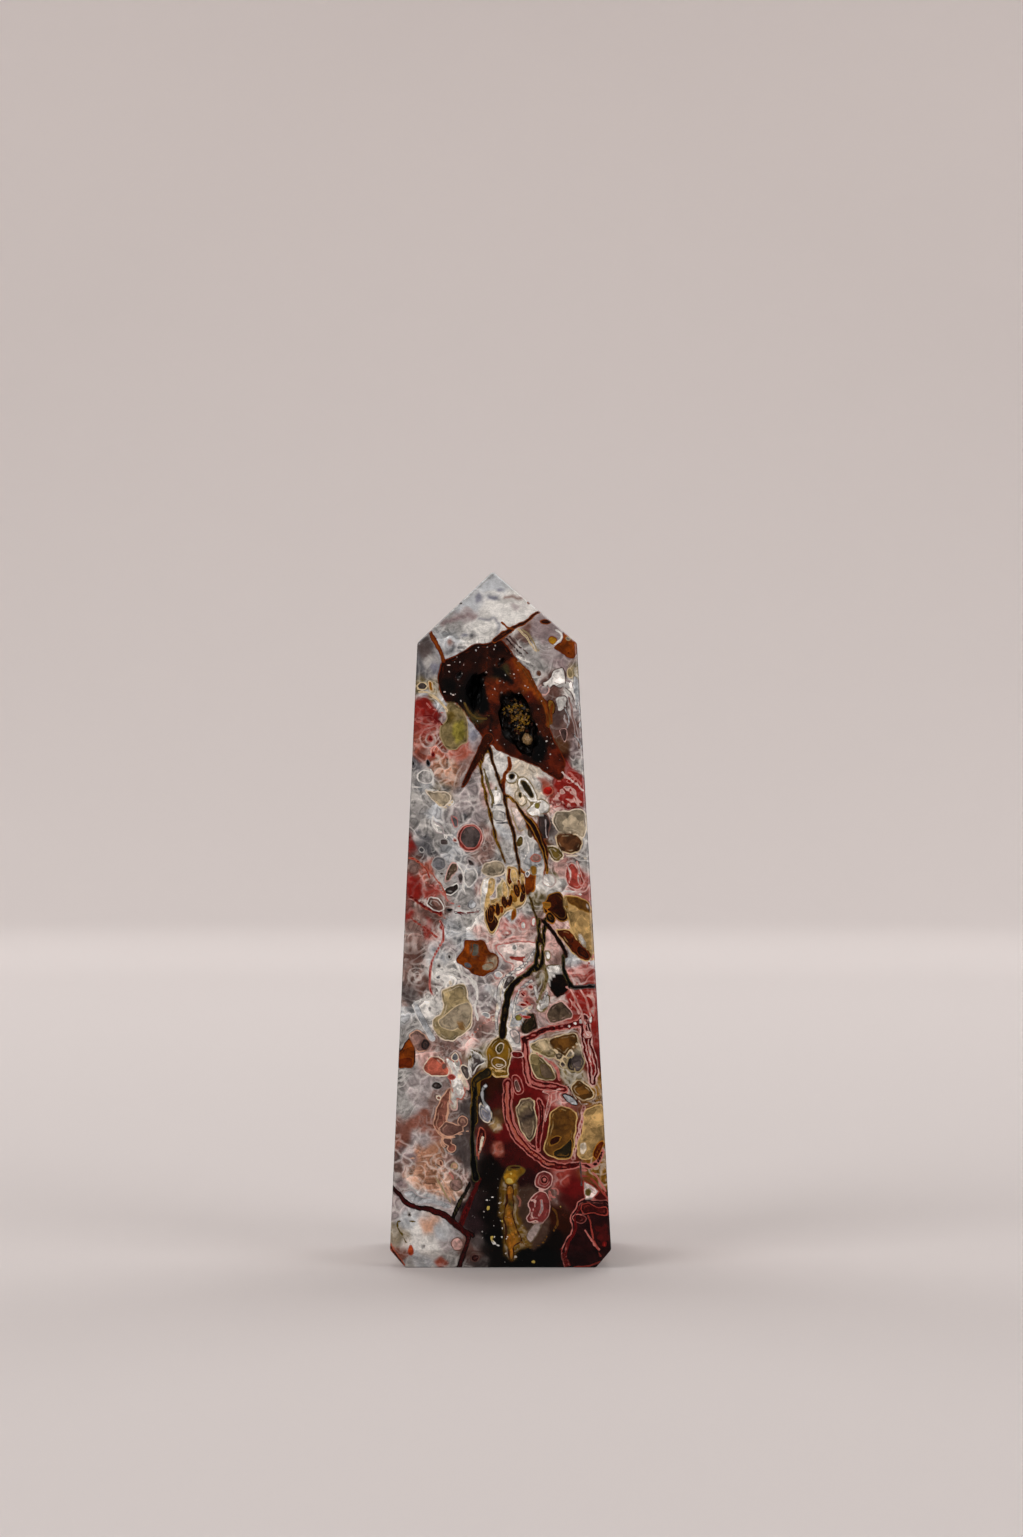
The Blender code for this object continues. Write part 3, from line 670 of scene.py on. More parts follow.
        "10,25.8 11.1,27.2 12.8,25.8 13.5,24.8 11.9,23.8 10.4,24.9"),
    Patch("clast_stripes", Tone.BROWN_GREY, Tone.CREAM,
        "2.1,22.9 2.9,24 4,24.4 4.8,23.8 4.7,23 5.1,21.6 5.1,20.1 4.7,18.6 4,18.1 3.1,19.4 2.5,21"),
    Patch("clast_big", Tone.OCHRE_BROWN, Tone.HONEY_CREAM,
        "7,22.3 8.4,23.2 10,22.8 10.9,21.9 10.4,16.8 9.8,15.7 8,15.7 6.9,16.1 6,17.1 6.7,18.8 7.1,20.7"),
    Patch("clast_edge", Tone.SAND, Tone.HONEY_CREAM,
        "12,22.8 14.8,23.6 15,18.6 13.7,16.4 12.2,15.5 11.1,15.9 10.9,17.7 11.7,19.7"),
    Patch("clast_fleck", Tone.CLOUD, Tone.SOOT,
        "8.8,24.9 9.8,24.8 10.9,23.8 11,23.2 10.2,23.4 9.3,24.1"),
    Patch("olive_blob", Tone.OLIVE_GOLD, Tone.CREAM,
        "-1.2,32.6 -0.1,33.1 1.2,32.4 1.6,31.3 1.6,30.2 1,28.4 1.2,27.4 -0.6,27.3 -2.1,28.2 -1.9,29.8 "
        "-2.1,31.1"),
    Patch("shard", Tone.SMOKE, Tone.SNOW,
        "-4.2,30.9 -2.9,30.2 -2.1,29.5 -3.2,28.9 -4.1,27.4 -4.4,29.1"),
    Patch("pale_sliver", Tone.CLOUD, Tone.SOOT,
        "-2.1,26.5 -1.8,26 -2.3,25.4 -2.4,24.3 -1.6,23.1 -1.1,21.9 -1.3,20.8 -1.8,22.1 -2.5,23.3 -2.9,24.5 "
        "-2.7,25.6"),
    Patch("sliver_low", Tone.BLUE_GREY, Tone.IVORY,
        "-3,23.6 -1.9,22.9 -1.1,21.9 -1.7,20.8 -2.5,21 -3.1,22.1"),
    Patch("spindle", Tone.GARNET, Tone.SALMON,
        "-3,20.3 -2.1,19.7 -2.3,17.9 -3.4,15.7 -3.4,17.9"),
    Spots("net_h", Tone.PINK_GREY, Tone.BROWN_GREY,
        "-6.3,12,0.88,0.83"),
    Patch("scallop_band", Tone.CLOUD, Tone.LILAC_MIST,
        "-14,11.1 -12.5,11.3 -12,10.6 -10.7,10.2 -9,10 -7.3,9.4 -7,8.9 -7.6,8.5 -9.4,9.3 -12.2,9.2 -13.3,10"),
    Patch("gold_bulb", Tone.GOLD, Tone.OLIVE,
        "0.4,13.3 0.9,14.4 1.8,14.8 3.7,14.4 3.4,13.7 2.5,13.1 2.1,12.2 1.4,12 0.6,12.3"),
    Patch("speckled_wedge", Tone.SNOW_PINK, Tone.ROSE,
        "11.7,12.6 12.6,12.2 14.2,11.1 13,10 11.9,10.2"),
    Patch("wine_body", Tone.WINE, Tone.PINK,
        "16.1,9.8 13.4,9.8 11.9,10.2 11,9.5 10.6,8.4 10,7.8 9.8,6.9 10.4,6 9.8,4.7 8.9,3.6 8.6,1.9 9.1,0.3 "
        "9.9,-0.6 16.1,-0.6"),
    Patch("flake_join", Tone.SNOW, Tone.PLUM_GREY,
        "9.2,83.9 9.9,83.7 10.7,82.6 11.1,81.3 10.6,80.8 10.1,82.1 9.4,82.6"),
    Patch("white_window_a", Tone.SNOW, Tone.MIST,
        "-1.6,68.1 0,68.4 0.3,66.6 -0.9,65.9 -1.7,66.6"),
    Patch("white_window_b", Tone.SNOW, Tone.STEEL,
        "-1.4,65.2 0.6,65.1 0.9,64 -0.6,63.8 -1.2,64.1"),
    Patch("pink_window", Tone.SNOW_PINK, Tone.BEIGE,
        "1.4,65.9 2.8,65.5 3.6,64 3.9,62.9 2.6,62.2 1.8,64"),
    Spots("drop_a", Tone.OLIVE, Tone.SNOW,
        "2.7,60.8,0.53,0.83,20"),
    Spots("drop_b", Tone.BROWN_GREY, Tone.SNOW,
        "4.4,62.2,0.57,0.92,10"),
    Spots("pink_eye", Tone.PINK_GREY, Tone.SALMON,
        "5,58.5,0.75,0.53"),
    Patch("brown_drip", Tone.UMBER, Tone.AMBER,
        "3.3,64 4.4,64.2 5.3,63.1 6,61.3 6.9,60 6.7,56.5 6.2,56 6.4,58.3 5.7,60 3.8,62.9"),
    Patch("amber_jag", Tone.AMBER, Tone.HONEY,
        "2.7,57.5 3.5,56.3 4.3,56.9 5.1,55.8 4.8,53.7 4.1,53.8 3.2,54.9"),
    Patch("white_fluff", Tone.SNOW, Tone.PALE_LILAC,
        "6.4,56.3 7.5,56.1 8,55 7.3,54.3 6,54.7 6,55.6"),
    Patch("foam_a", Tone.MIST, Tone.SNOW,
        "-5.2,56.3 -4.1,57.2 -3.4,56.5 -3.6,55 -4.6,54.3 -5.2,55"),
    Spots("foam_b", Tone.CLOUD, Tone.STEEL,
        "-4.1,51.9,0.57,0.57"),
    Patch("white_arrow", Tone.SNOW, Tone.OLIVE,
        "6.5,43.3 8.6,43.2 8.7,42.5 7.7,42.3 7.1,41.4 6.9,42.5"),
    Patch("white_post", Tone.SNOW, Tone.OLIVE,
        "6,38.6 6.9,39.2 7,37.7 6.2,36.8 5.5,37.1"),
    Patch("white_branch", Tone.SNOW, Tone.SALMON,
        "-7.9,30.1 -7,29.8 -6.3,29.1 -5.9,30 -5.6,28.7 -6.3,27.6 -5.4,26.5 -5,25.4 -5.4,24.1 -6.3,24.3 "
        "-6.5,23.2 -7.2,23.7 -6.7,25.4 -7.4,26.7 -6.7,28.1 -7.6,28.9"),
    Patch("flash_a", Tone.SNOW, Tone.OLIVE,
        "-4.3,31.2 -3.2,30.8 -1.9,29.5 -3,29.8 -3.9,30.4"),
    Patch("flash_b", Tone.SNOW, Tone.OLIVE,
        "-4.3,30.6 -3.9,29.8 -4,28.4 -4.5,28.9"),
    Patch("white_cap", Tone.SNOW_PINK, Tone.STEEL,
        "1.1,33.8 2,34.2 2.9,33.5 2.8,32.2 2,32"),
    Spots("red_eye_ring", Tone.CRIMSON, Tone.SNOW_PINK,
        "2.4,30.5,0.83,0.44,10"),
    Spots("smoke_clast", Tone.SMOKE, Tone.BEIGE,
        "11,29.4,1.01,1.19"),
    Patch("gold_streak", Tone.OCHRE, Tone.UMBER,
        "1,12 1.8,11.8 1.9,9.8 1.7,7.6 2.4,5.4 3.1,4.1 1.8,3.2 1.9,1.5 1.4,1.2 1.2,3.2 0.6,3.9 1,5.4 "
        "0.4,7.6 1,9.8"),
    Patch("white_flake_high", Tone.SNOW, Tone.PLUM_GREY,
        "7.5,85.3 9,85.9 9.4,83.7 8.6,82.8 7.8,83.3 6,83 5.9,83.6 7.1,84.2"),
    Patch("white_flake_edge", Tone.CLOUD, Tone.STEEL,
        "10.4,84.6 11.1,84.2 11.3,81.4 10.9,79.5 10.5,81.8"),
)


SHADE_MARKS: tuple[Mark, ...] = (
    Veins("clast_shade_a", Tone.DARK_SMOKE, Tone.DARK_SMOKE,
        "3,21,0.44 3.9,21.7,0.53 4.7,22.3,0.44"),
    Veins("clast_shade_b", Tone.BEIGE, Tone.BEIGE,
        "2.6,22.3,0.35 3.2,22.9,0.44 4.1,23.5,0.4"),
    # Painted shade: the black and soot hollow patches darken the vug's hollows and the pockets' openings.
    Patch("hollow_centre", Tone.BLACK, Tone.BLACK,
        "-4.3,84.6 -3.2,84.3 -2.3,83.2 -1.4,79.6 -2.1,78.9 -3.2,79.3 -4.1,80.4 -4.6,81.9"),
    Patch("hollow_low", Tone.BLACK, Tone.BLACK,
        "3,75.9 4.4,76.2 5.8,76.2 6.5,75.3 6.6,73.8 6.2,72.5 4.9,72 4.3,72.9 4.7,74.2 3.8,74.9"),
    Patch("hollow_mid", Tone.SOOT, Tone.SOOT,
        "1.4,77.9 2.5,77.9 3.3,77.3 3.1,76.2 2,76 1.1,76.6"),
    Patch("hollow_right", Tone.SOOT, Tone.SOOT,
        "0.7,81.5 2,81.9 3.2,81.5 3.7,80.4 2.5,79.6 1.4,80.1"),
    Patch("hollow_top", Tone.SOOT, Tone.SOOT,
        "-1.3,86.1 0,85.8 1.4,84.5 2,83.4 1.4,83.2 -0.2,84.1 -1.1,85"),
    Patch("hollow_left", Tone.SOOT, Tone.SOOT,
        "-8.5,84.1 -7.4,84.5 -6.3,83.7 -6.5,82.1 -7.6,81.5 -8.4,82.6"),
    Patch("glow_centre", Tone.RUST, Tone.RUST,
        "-1.9,83 -0.6,83.7 1.1,83.7 2,83 1.1,81.9 -0.2,80.8 -1.5,81 -2.1,81.9"),
    Veins("jasper_glow", Tone.AMBER, Tone.AMBER,
        "2,86.7,0.53 3.1,85,0.88 4.3,83,0.88 5.3,81.7,0.66 6.5,80.4,0.53 6.9,79,0.48 6.7,77.5,0.35"),
    Veins("jasper_glow_low", Tone.RUST, Tone.RUST,
        "-1.2,74.5,0.57 2,72,0.44"),
    Veins("jasper_split", Tone.SOOT, Tone.SOOT,
        "-1.3,78.8,0.44 -1.5,77.1,0.48 -1.1,75.3,0.4 -1.9,74,0.35"),
    Patch("green_glow", Tone.MOSS, Tone.MOSS,
        "-6.8,77.9 -5.4,78.4 -4.9,76.8 -5.3,75.3 -6.3,74.9 -7,76"),
    Patch("green_shade", Tone.OLIVE, Tone.OLIVE,
        "-8.3,79 -7,79.6 -6.3,78.6 -7.2,77.7 -8.1,77.7"),
    Patch("amber_glass", Tone.BEIGE_GREY, Tone.BEIGE,
        "-1.9,44.3 -0.6,44.5 -0.3,43.2 -1.3,42.5 -2.1,43.2"),
    Patch("amber_glass_b", Tone.STEEL_BROWN, Tone.BEIGE,
        "-4.3,46.1 -3.2,46.3 -3.2,44.5 -4.1,44.3"),
    Patch("facet_a", Tone.OCHRE_BROWN, Tone.OCHRE,
        "8.6,33.5 11,33.8 11,31.3 9.7,30.2 8.8,32"),
    Patch("facet_b", Tone.CREAM, Tone.CREAM,
        "4.4,32.9 6.2,32.8 7.7,30.9 6,30.9"),
    Patch("facet_c", Tone.BROWN_GREY, Tone.BEIGE,
        "6.2,29.1 7.1,29.4 7.8,27.4 5.5,27"),
    Patch("wine_glow", Tone.GARNET, Tone.GARNET,
        "13.4,6.3 15.2,6.5 15.6,4.1 14.3,3.2 13.4,4.3"),
    Spots("gold_glow", Tone.HONEY, Tone.HONEY,
        "1.5,3.6,0.6,1.7 1.3,7.4,0.3,1.6 1.2,10.9,0.35,0.9"),
    Spots("streak_shade", Tone.OLIVE, Tone.OLIVE,
        "1.5,9.2,0.5,0.7 1.2,5.4,0.4,0.5"),
)


CORE_MARKS: tuple[Mark, ...] = (
    Spots("umber_spots", Tone.UMBER, Tone.AMBER,
        "4.1,95.4,0.24,0.18 6.5,92.5,0.75,0.33,5"),
    Spots("golden_eye", Tone.GOLD, Tone.AMBER,
        "7.5,89.7,0.59,0.55"),
    Spots("corner_window", Tone.LILAC, Tone.BEIGE,
        "9.7,89.9,0.33,0.26"),
    Spots("umber_spots_in_umber", Tone.UMBER, Tone.UMBER,
        "-5.9,95.3,0.18,0.15 9.8,88,0.18,0.15"),
    Spots("brown_dot", Tone.TAN_BROWN, Tone.MAUVE,
        "5.5,84.9,0.24,0.31"),
    Spots("dark_dot", Tone.DARK_SMOKE, Tone.DARK_SMOKE,
        "8.3,86.7,0.13,0.13"),
    Patch("white_flake_low", Tone.SNOW, Tone.PLUM_GREY,
        "7.7,81.3 8.4,81.7 9.3,81.7 9.6,81.1 9.3,80.6 9.6,80.1 8.9,79.6 8.1,79.4 8.2,80.2"),
    Spots("tan_bit", Tone.BEIGE, Tone.CREAM,
        "9.9,85,0.48,0.75"),
    Patch("amber_wedge", Tone.HONEY, Tone.CREAM,
        "-10.4,83.9 -9.8,83.8 -9.6,82.3 -10.2,82.6"),
    Spots("crimson_spots", Tone.CRIMSON, Tone.ROSE,
        "-10.1,75.6,0.31,0.4 -9.7,73.3,0.26,0.48"),
    Spots("eye_one", Tone.SOOT, Tone.OLIVE,
        "1.6,70.1,0.44,0.42"),
    Patch("eye_two", Tone.DARK_OLIVE, Tone.OLIVE,
        "2.9,69.6 3.5,69.6 4.7,67.7 4.7,67.1 4.2,67.1 3,69"),
    Spots("eye_three", Tone.DARK_OLIVE, Tone.KHAKI,
        "2.8,67.5,0.26,0.44"),
    Patch("yellow_bit", Tone.MOSS, Tone.KHAKI,
        "4.8,66.3 5.8,66.6 5.5,65.6 4.9,65.7"),
    Spots("small_eye", Tone.DARK_SMOKE, Tone.KHAKI,
        "-0.7,68.4,0.15,0.26"),
    Spots("hot_red_a", Tone.RED, Tone.PINK,
        "6.7,68,0.53,0.57,20"),
    Spots("hot_red_b", Tone.HOT_RED, Tone.PINK,
        "10.1,69.6,0.75,0.31,-25"),
    Spots("grey_orb", Tone.SMOKE, Tone.PINK,
        "-4.3,61.5,1.45,1.58"),
    Patch("orb_tail", Tone.STEEL, Tone.PINK,
        "-7.2,64.7 -6.3,64.2 -6.1,63 -6.6,62.8"),
    Spots("ghost_b", Tone.STEEL, Tone.MIST,
        "-11.3,59.6,0.44,0.4"),
    Spots("pit_dot_a", Tone.SOOT, Tone.SMOKE,
        "-7.3,51,0.57,0.31,10"),
    Spots("soot_spots", Tone.SOOT, Tone.STEEL,
        "-12.6,72.1,0.31,0.44 -10.4,72.1,0.35,0.44"),
    Patch("dark_bit", Tone.DARK_SMOKE, Tone.SNOW,
        "-6.9,66.8 -6.7,66.4 -7.3,65.9 -7.5,66.2"),
    Spots("thread_eye", Tone.GARNET, Tone.ROSE,
        "-8.4,48.5,0.31,0.31"),
    Patch("tear_a", Tone.RUST, Tone.HONEY_CREAM,
        "1.1,57.2 1.8,56.7 2.3,56.1 1.3,54.3 0.9,55.6"),
    Patch("tear_b", Tone.AMBER, Tone.HONEY_CREAM,
        "1.8,55.4 2.7,55.6 3.2,54.5 2.5,53.6 1.8,54.3"),
    Patch("tear_c", Tone.RUST, Tone.HONEY_CREAM,
        "0.5,52.4 1,53.3 1.5,52.3 1.4,51.4 0.5,51.4"),
    Patch("tear_d", Tone.OCHRE, Tone.HONEY_CREAM,
        "1.4,54.1 2.4,53.6 2.5,52.3 1.8,52.1 1.3,53"),
    Patch("tear_e", Tone.UMBER, Tone.HONEY_CREAM,
        "2.9,54.3 3.6,53.7 3.4,52.3 2.6,51.9"),
    Patch("tear_f", Tone.UMBER, Tone.HONEY_CREAM,
        "-2.4,50.8 -1.7,51.5 -0.3,49.8 -0.3,49.3 -0.8,48.3 -1.4,47.8 -1.9,49"),
    Patch("tear_g", Tone.UMBER, Tone.HONEY_CREAM,
        "-1.4,52.1 -0.3,51.5 -0.2,50.1 -1.1,50.8"),
    Spots("tear_h", Tone.OCHRE, Tone.GOLD,
        "-1.9,52.3,0.37,0.35"),
    Patch("tear_i", Tone.AMBER, Tone.HONEY_CREAM,
        "-0.1,51.8 0.6,51.5 0.3,50.5 -0.3,50.8"),
    Patch("tear_j", Tone.AMBER, Tone.OCHRE,
        "1.6,51 2.3,51.4 2.2,50.1 1.5,49.3"),
    Spots("lash_eye", Tone.STEEL, Tone.SNOW,
        "3.9,56.2,0.35,0.44"),
    Patch("ochre_top", Tone.OCHRE, Tone.KHAKI,
        "4.2,57.3 5.1,57.4 5.1,56.3 4.5,55.8"),
    Patch("cluster_window", Tone.SOOT, Tone.HONEY,
        "6.3,50.6 7.1,50.9 8,49.7 7.5,49 6.6,49.5"),
    Patch("cluster_gold", Tone.OCHRE, Tone.HONEY,
        "5.9,52.1 7,52.3 7.3,51.7 6.4,51.2"),
    Patch("ochre_clast_cap", Tone.OCHRE_BROWN, Tone.OCHRE,
        "9.4,53 11,52.9 12.7,52.1 13,50.6 11.9,50.9 10.6,51.7 9.5,52.1"),
    Spots("clast_dot_a", Tone.UMBER, Tone.OCHRE,
        "9.4,51.5,0.15,0.18"),
    Spots("clast_dot_b", Tone.SNOW, Tone.CREAM,
        "12.4,51.7,0.18,0.31"),
    Patch("amber_slate", Tone.STEEL_BROWN, Tone.AMBER,
        "-4,46.5 -3.2,46.4 -3.1,45.2 -3.4,44.4 -4.2,44.3 -3.9,45.4"),
    Spots("amber_lobe", Tone.BEIGE_GREY, Tone.AMBER,
        "-1.8,43,0.92,0.57,-10"),
    Spots("amber_ring", Tone.AMBER, Tone.RUST,
        "-2.8,44.3,0.53,0.48"),
    Spots("amber_void", Tone.STEEL, Tone.AMBER,
        "-4.7,43.2,0.66,0.4,30"),
    Patch("beige_inner", Tone.BEIGE_GREY, Tone.CREAM,
        "-7.6,36.4 -5.9,37.6 -4.7,38.2 -4.1,37.3 -4.1,35.5 -5,33.8 -5.9,34.4 -7,33.8 -8.5,34.4 -9,35.3"),
    Patch("beige_notch", Tone.TAN, Tone.BEIGE,
        "-6.3,35.1 -5.3,35.2 -5,33.8 -5.9,33.9"),
    Spots("beige_bud", Tone.OLIVE, Tone.IVORY,
        "-7.1,40.7,0.26,0.26"),
    Spots("grey_dot_c", Tone.SOOT, Tone.MAUVE,
        "-11.9,41.6,0.2,0.2"),
    Patch("edge_amber_low", Tone.RUST, Tone.AMBER,
        "-14.7,30 -12.9,30.2 -12.4,29.7 -12.5,28.5 -14.7,28.7"),
    Patch("edge_cap_dark", Tone.DARK_SMOKE, Tone.MAUVE,
        "-11,32.8 -10.3,32.6 -9.9,32 -10.6,31.1 -11.3,31.2 -11.5,32"),
    Spots("salmon_eye", Tone.MAUVE, Tone.SALMON,
        "-8.1,28.8,0.35,0.48"),
    Patch("smoke_cell", Tone.SMOKE, Tone.IVORY,
        "-5.8,28.9 -5.2,29.1 -4.5,28.4 -4.4,27.2 -5,26.7"),
    Spots("river_eye", Tone.STEEL, Tone.IVORY,
        "-6.5,30.1,0.48,0.61"),
    Patch("small_kite", Tone.ROSE_GREY, Tone.IVORY,
        "-9.4,24.6 -8.3,24.6 -8.5,24 -9,24"),
    Spots("salmon_knot", Tone.ROSE, Tone.PINK,
        "-7,27.3,0.61,0.4"),
    Spots("snow_spots", Tone.SNOW, Tone.PINK,
        "-0.4,41.8,0.48,0.4,-20 0.7,47.9,0.7,0.26 3.2,48.9,0.35,0.61 4.7,49.4,0.31,0.66 -2.1,36.1,0.61,0.31"),
    Spots("patch_grey", Tone.MIST, Tone.SNOW,
        "2,45.7,0.35,0.4"),
    Patch("blade_dark", Tone.UMBER, Tone.RUST,
        "11.2,46.1 12.2,45.4 12.9,44.6 12.2,44 11.2,44.6 10.7,45.4"),
    Spots("sliver_gold", Tone.MOSS, Tone.OLIVE,
        "2.6,35.7,0.48,0.4,-40"),
    Patch("red_spot_b", Tone.RED, Tone.PALE_PINK,
        "2.1,37.6 3.1,37.9 4.1,37.6 3.1,37.2"),
    Spots("rose_spots", Tone.ROSE, Tone.PALE_PINK,
        "-6.5,61.1,0.31,0.31 4.3,40.1,0.44,0.31"),
    Patch("clast_low_dark", Tone.BROWN_GREY, Tone.OLIVE,
        "5.5,29.1 6.6,29.3 7.7,27.4 6.9,27 5.8,27.4"),
    Patch("clast_big_dark", Tone.DARK_OLIVE, Tone.OCHRE,
        "7.1,16.4 9.3,17.7 10.1,18.8 10.3,16.8 9.7,15.8 8,15.8"),
    Patch("clast_big_streak", Tone.UMBER, Tone.OCHRE,
        "7.1,18.6 8,19 8.8,18.8 8.2,17.9 6.9,17.5"),
    Patch("clast_edge_rust", Tone.RUST, Tone.HONEY,
        "13.7,17.7 14.4,18.4 14.8,17.9 13.7,15.5 13.1,16.2"),
    Patch("clast_edge_white", Tone.IVORY, Tone.SAND,
        "11.2,17.9 12.2,18.2 12.4,17 11.7,16.1 11.2,16.6"),
    Spots("snow_spots_in_crimson", Tone.SNOW, Tone.CRIMSON,
        "9.8,34.5,0.33,0.29 10.6,34.9,0.35,0.31 11.5,35.2,0.4,0.35"),
    Patch("bead_f", Tone.SNOW, Tone.CRIMSON,
        "12.8,36.4 13.2,36.1 13,35 12.6,34.8 12.5,35.7"),
    Spots("pale_pink_spots", Tone.PALE_PINK, Tone.CRIMSON,
        "8,34.3,0.31,0.24 8.8,34.4,0.26,0.26 12.4,33.3,0.66,0.57,30"),
    Patch("bead_h", Tone.PALE_PINK, Tone.CRIMSON,
        "12.5,31.3 13,31.1 12.8,30.2 13.1,29.7 12.7,29 12.5,29.8 12.6,30.5"),
    Spots("crimson_spots_in_pale_pink", Tone.CRIMSON, Tone.PALE_PINK,
        "3.2,39,0.53,0.35 2.4,30.5,1.01,0.48,6"),
    Patch("loop_b", Tone.CRIMSON, Tone.PINK,
        "1.6,27.4 2.2,27.7 3,27 3.4,25.4 3,24.8 2.2,24.7 1.7,25.9"),
    Spots("blob_ring", Tone.OLIVE_GOLD, Tone.IVORY,
        "-0.3,29.3,1.01,0.75,8"),
    Patch("blob_leaf", Tone.OLIVE, Tone.IVORY,
        "-0.8,31.3 0,32.2 0.5,32 0.3,30.9 -0.4,30.5"),
    Patch("net_a", Tone.MAUVE, Tone.PALE_PEACH,
        "-7.9,21 -5.9,20.5 -5,19.7 -6.9,19 -8.3,18.8 -8.7,19.9"),
    Spots("mauve_spots", Tone.MAUVE, Tone.PALE_PEACH,
        "-5.4,21,0.75,0.7 -7.6,18.3,0.61,0.48 -8.6,19.8,0.29,0.26"),
    Spots("rose_grey_spots", Tone.ROSE_GREY, Tone.PALE_PEACH,
        "-7,17.2,0.57,0.61 -8.5,15.1,0.4,0.37"),
    Spots("net_g", Tone.PALE_PEACH, Tone.BEIGE,
        "-6.6,14.7,0.44,0.4"),
    Spots("orange_dot", Tone.ORANGE, Tone.SALMON,
        "-12.8,2.7,0.35,0.75"),
    Spots("cream_low", Tone.PALE_PINK, Tone.MAUVE,
        "-6.2,3.6,0.79,0.88"),
    Spots("dark_smoke_spots", Tone.DARK_SMOKE, Tone.MIST,
        "-7.3,44.5,0.31,0.35,20 -9.1,26.1,0.83,0.53 -13,7.8,0.26,0.35"),
    Spots("smoke_spots", Tone.SMOKE, Tone.MIST,
        "-8.1,60.8,0.57,0.4 -8.4,56.2,0.35,0.26 -8.8,43.2,0.26,0.35,20 -10.1,37,0.22,0.31 -11,3.3,0.26,0.22"),
    Spots("garnet_spots", Tone.GARNET, Tone.MAUVE,
        "-8.7,54.4,0.22,0.2 -3.6,1.5,0.61,0.48,-30"),
    Patch("bulb_top", Tone.UMBER, Tone.OLIVE,
        "0.9,14.3 1.8,14.7 2.8,14.6 2.6,14.1 1.8,14.2 1.3,13.9"),
    Spots("bulb_glow", Tone.PALE_GOLD, Tone.GOLD,
        "1.3,12.6,0.61,0.48,15"),
    Spots("stem_glow", Tone.HONEY, Tone.OLIVE_GOLD,
        "1.3,4,0.44,1.1"),
    Patch("oval_wedge", Tone.PALE_LILAC, Tone.BROWN_GREY,
        "3.7,4.8 4.7,6.5 6,6.5 4.5,3.8 3.8,4.3"),
    Patch("curl_head", Tone.DUSKY_ROSE, Tone.PALE_PINK,
        "4.9,12.7 5.3,13.7 6.2,14 7.1,13.7 7.5,12.9 7.3,12 6.6,11.3 5.6,11.5 5,11.9"),
    Patch("curl_body", Tone.DUSKY_ROSE, Tone.PALE_PINK,
        "5.3,11.1 6.4,10.9 6.9,10 7.1,8.9 6.7,7.3 5.8,6.5 4.9,7 4,6.7 3.6,7.3 4.3,8.2 3.8,9.4"),
    Patch("wedge_speck", Tone.OLIVE, Tone.KHAKI,
        "12.1,11.3 12.6,11.5 13,11 12.7,10.5 12.1,10.6"),
    Spots("wine_oval", Tone.GARNET, Tone.PINK,
        "11.2,7.2,1.05,0.61,5"),
    Patch("wine_swirl", Tone.GARNET, Tone.ROSE,
        "11.6,9.3 12.6,9.5 13.7,8.7 15.2,8.9 15.2,7.6 13,8.1 11.9,7.8 11.4,8.5"),
    Spots("wine_dot", Tone.RED, Tone.CRIMSON,
        "14.8,3.6,0.26,0.35"),
    Spots("hot_red_c", Tone.HOT_RED, Tone.SALMON,
        "6.8,68.1,0.75,0.57"),
    Spots("cloud_spots", Tone.CLOUD, Tone.SNOW,
        "-0.3,41.9,0.57,0.44 -2.1,36.1,0.66,0.33,10"),
)


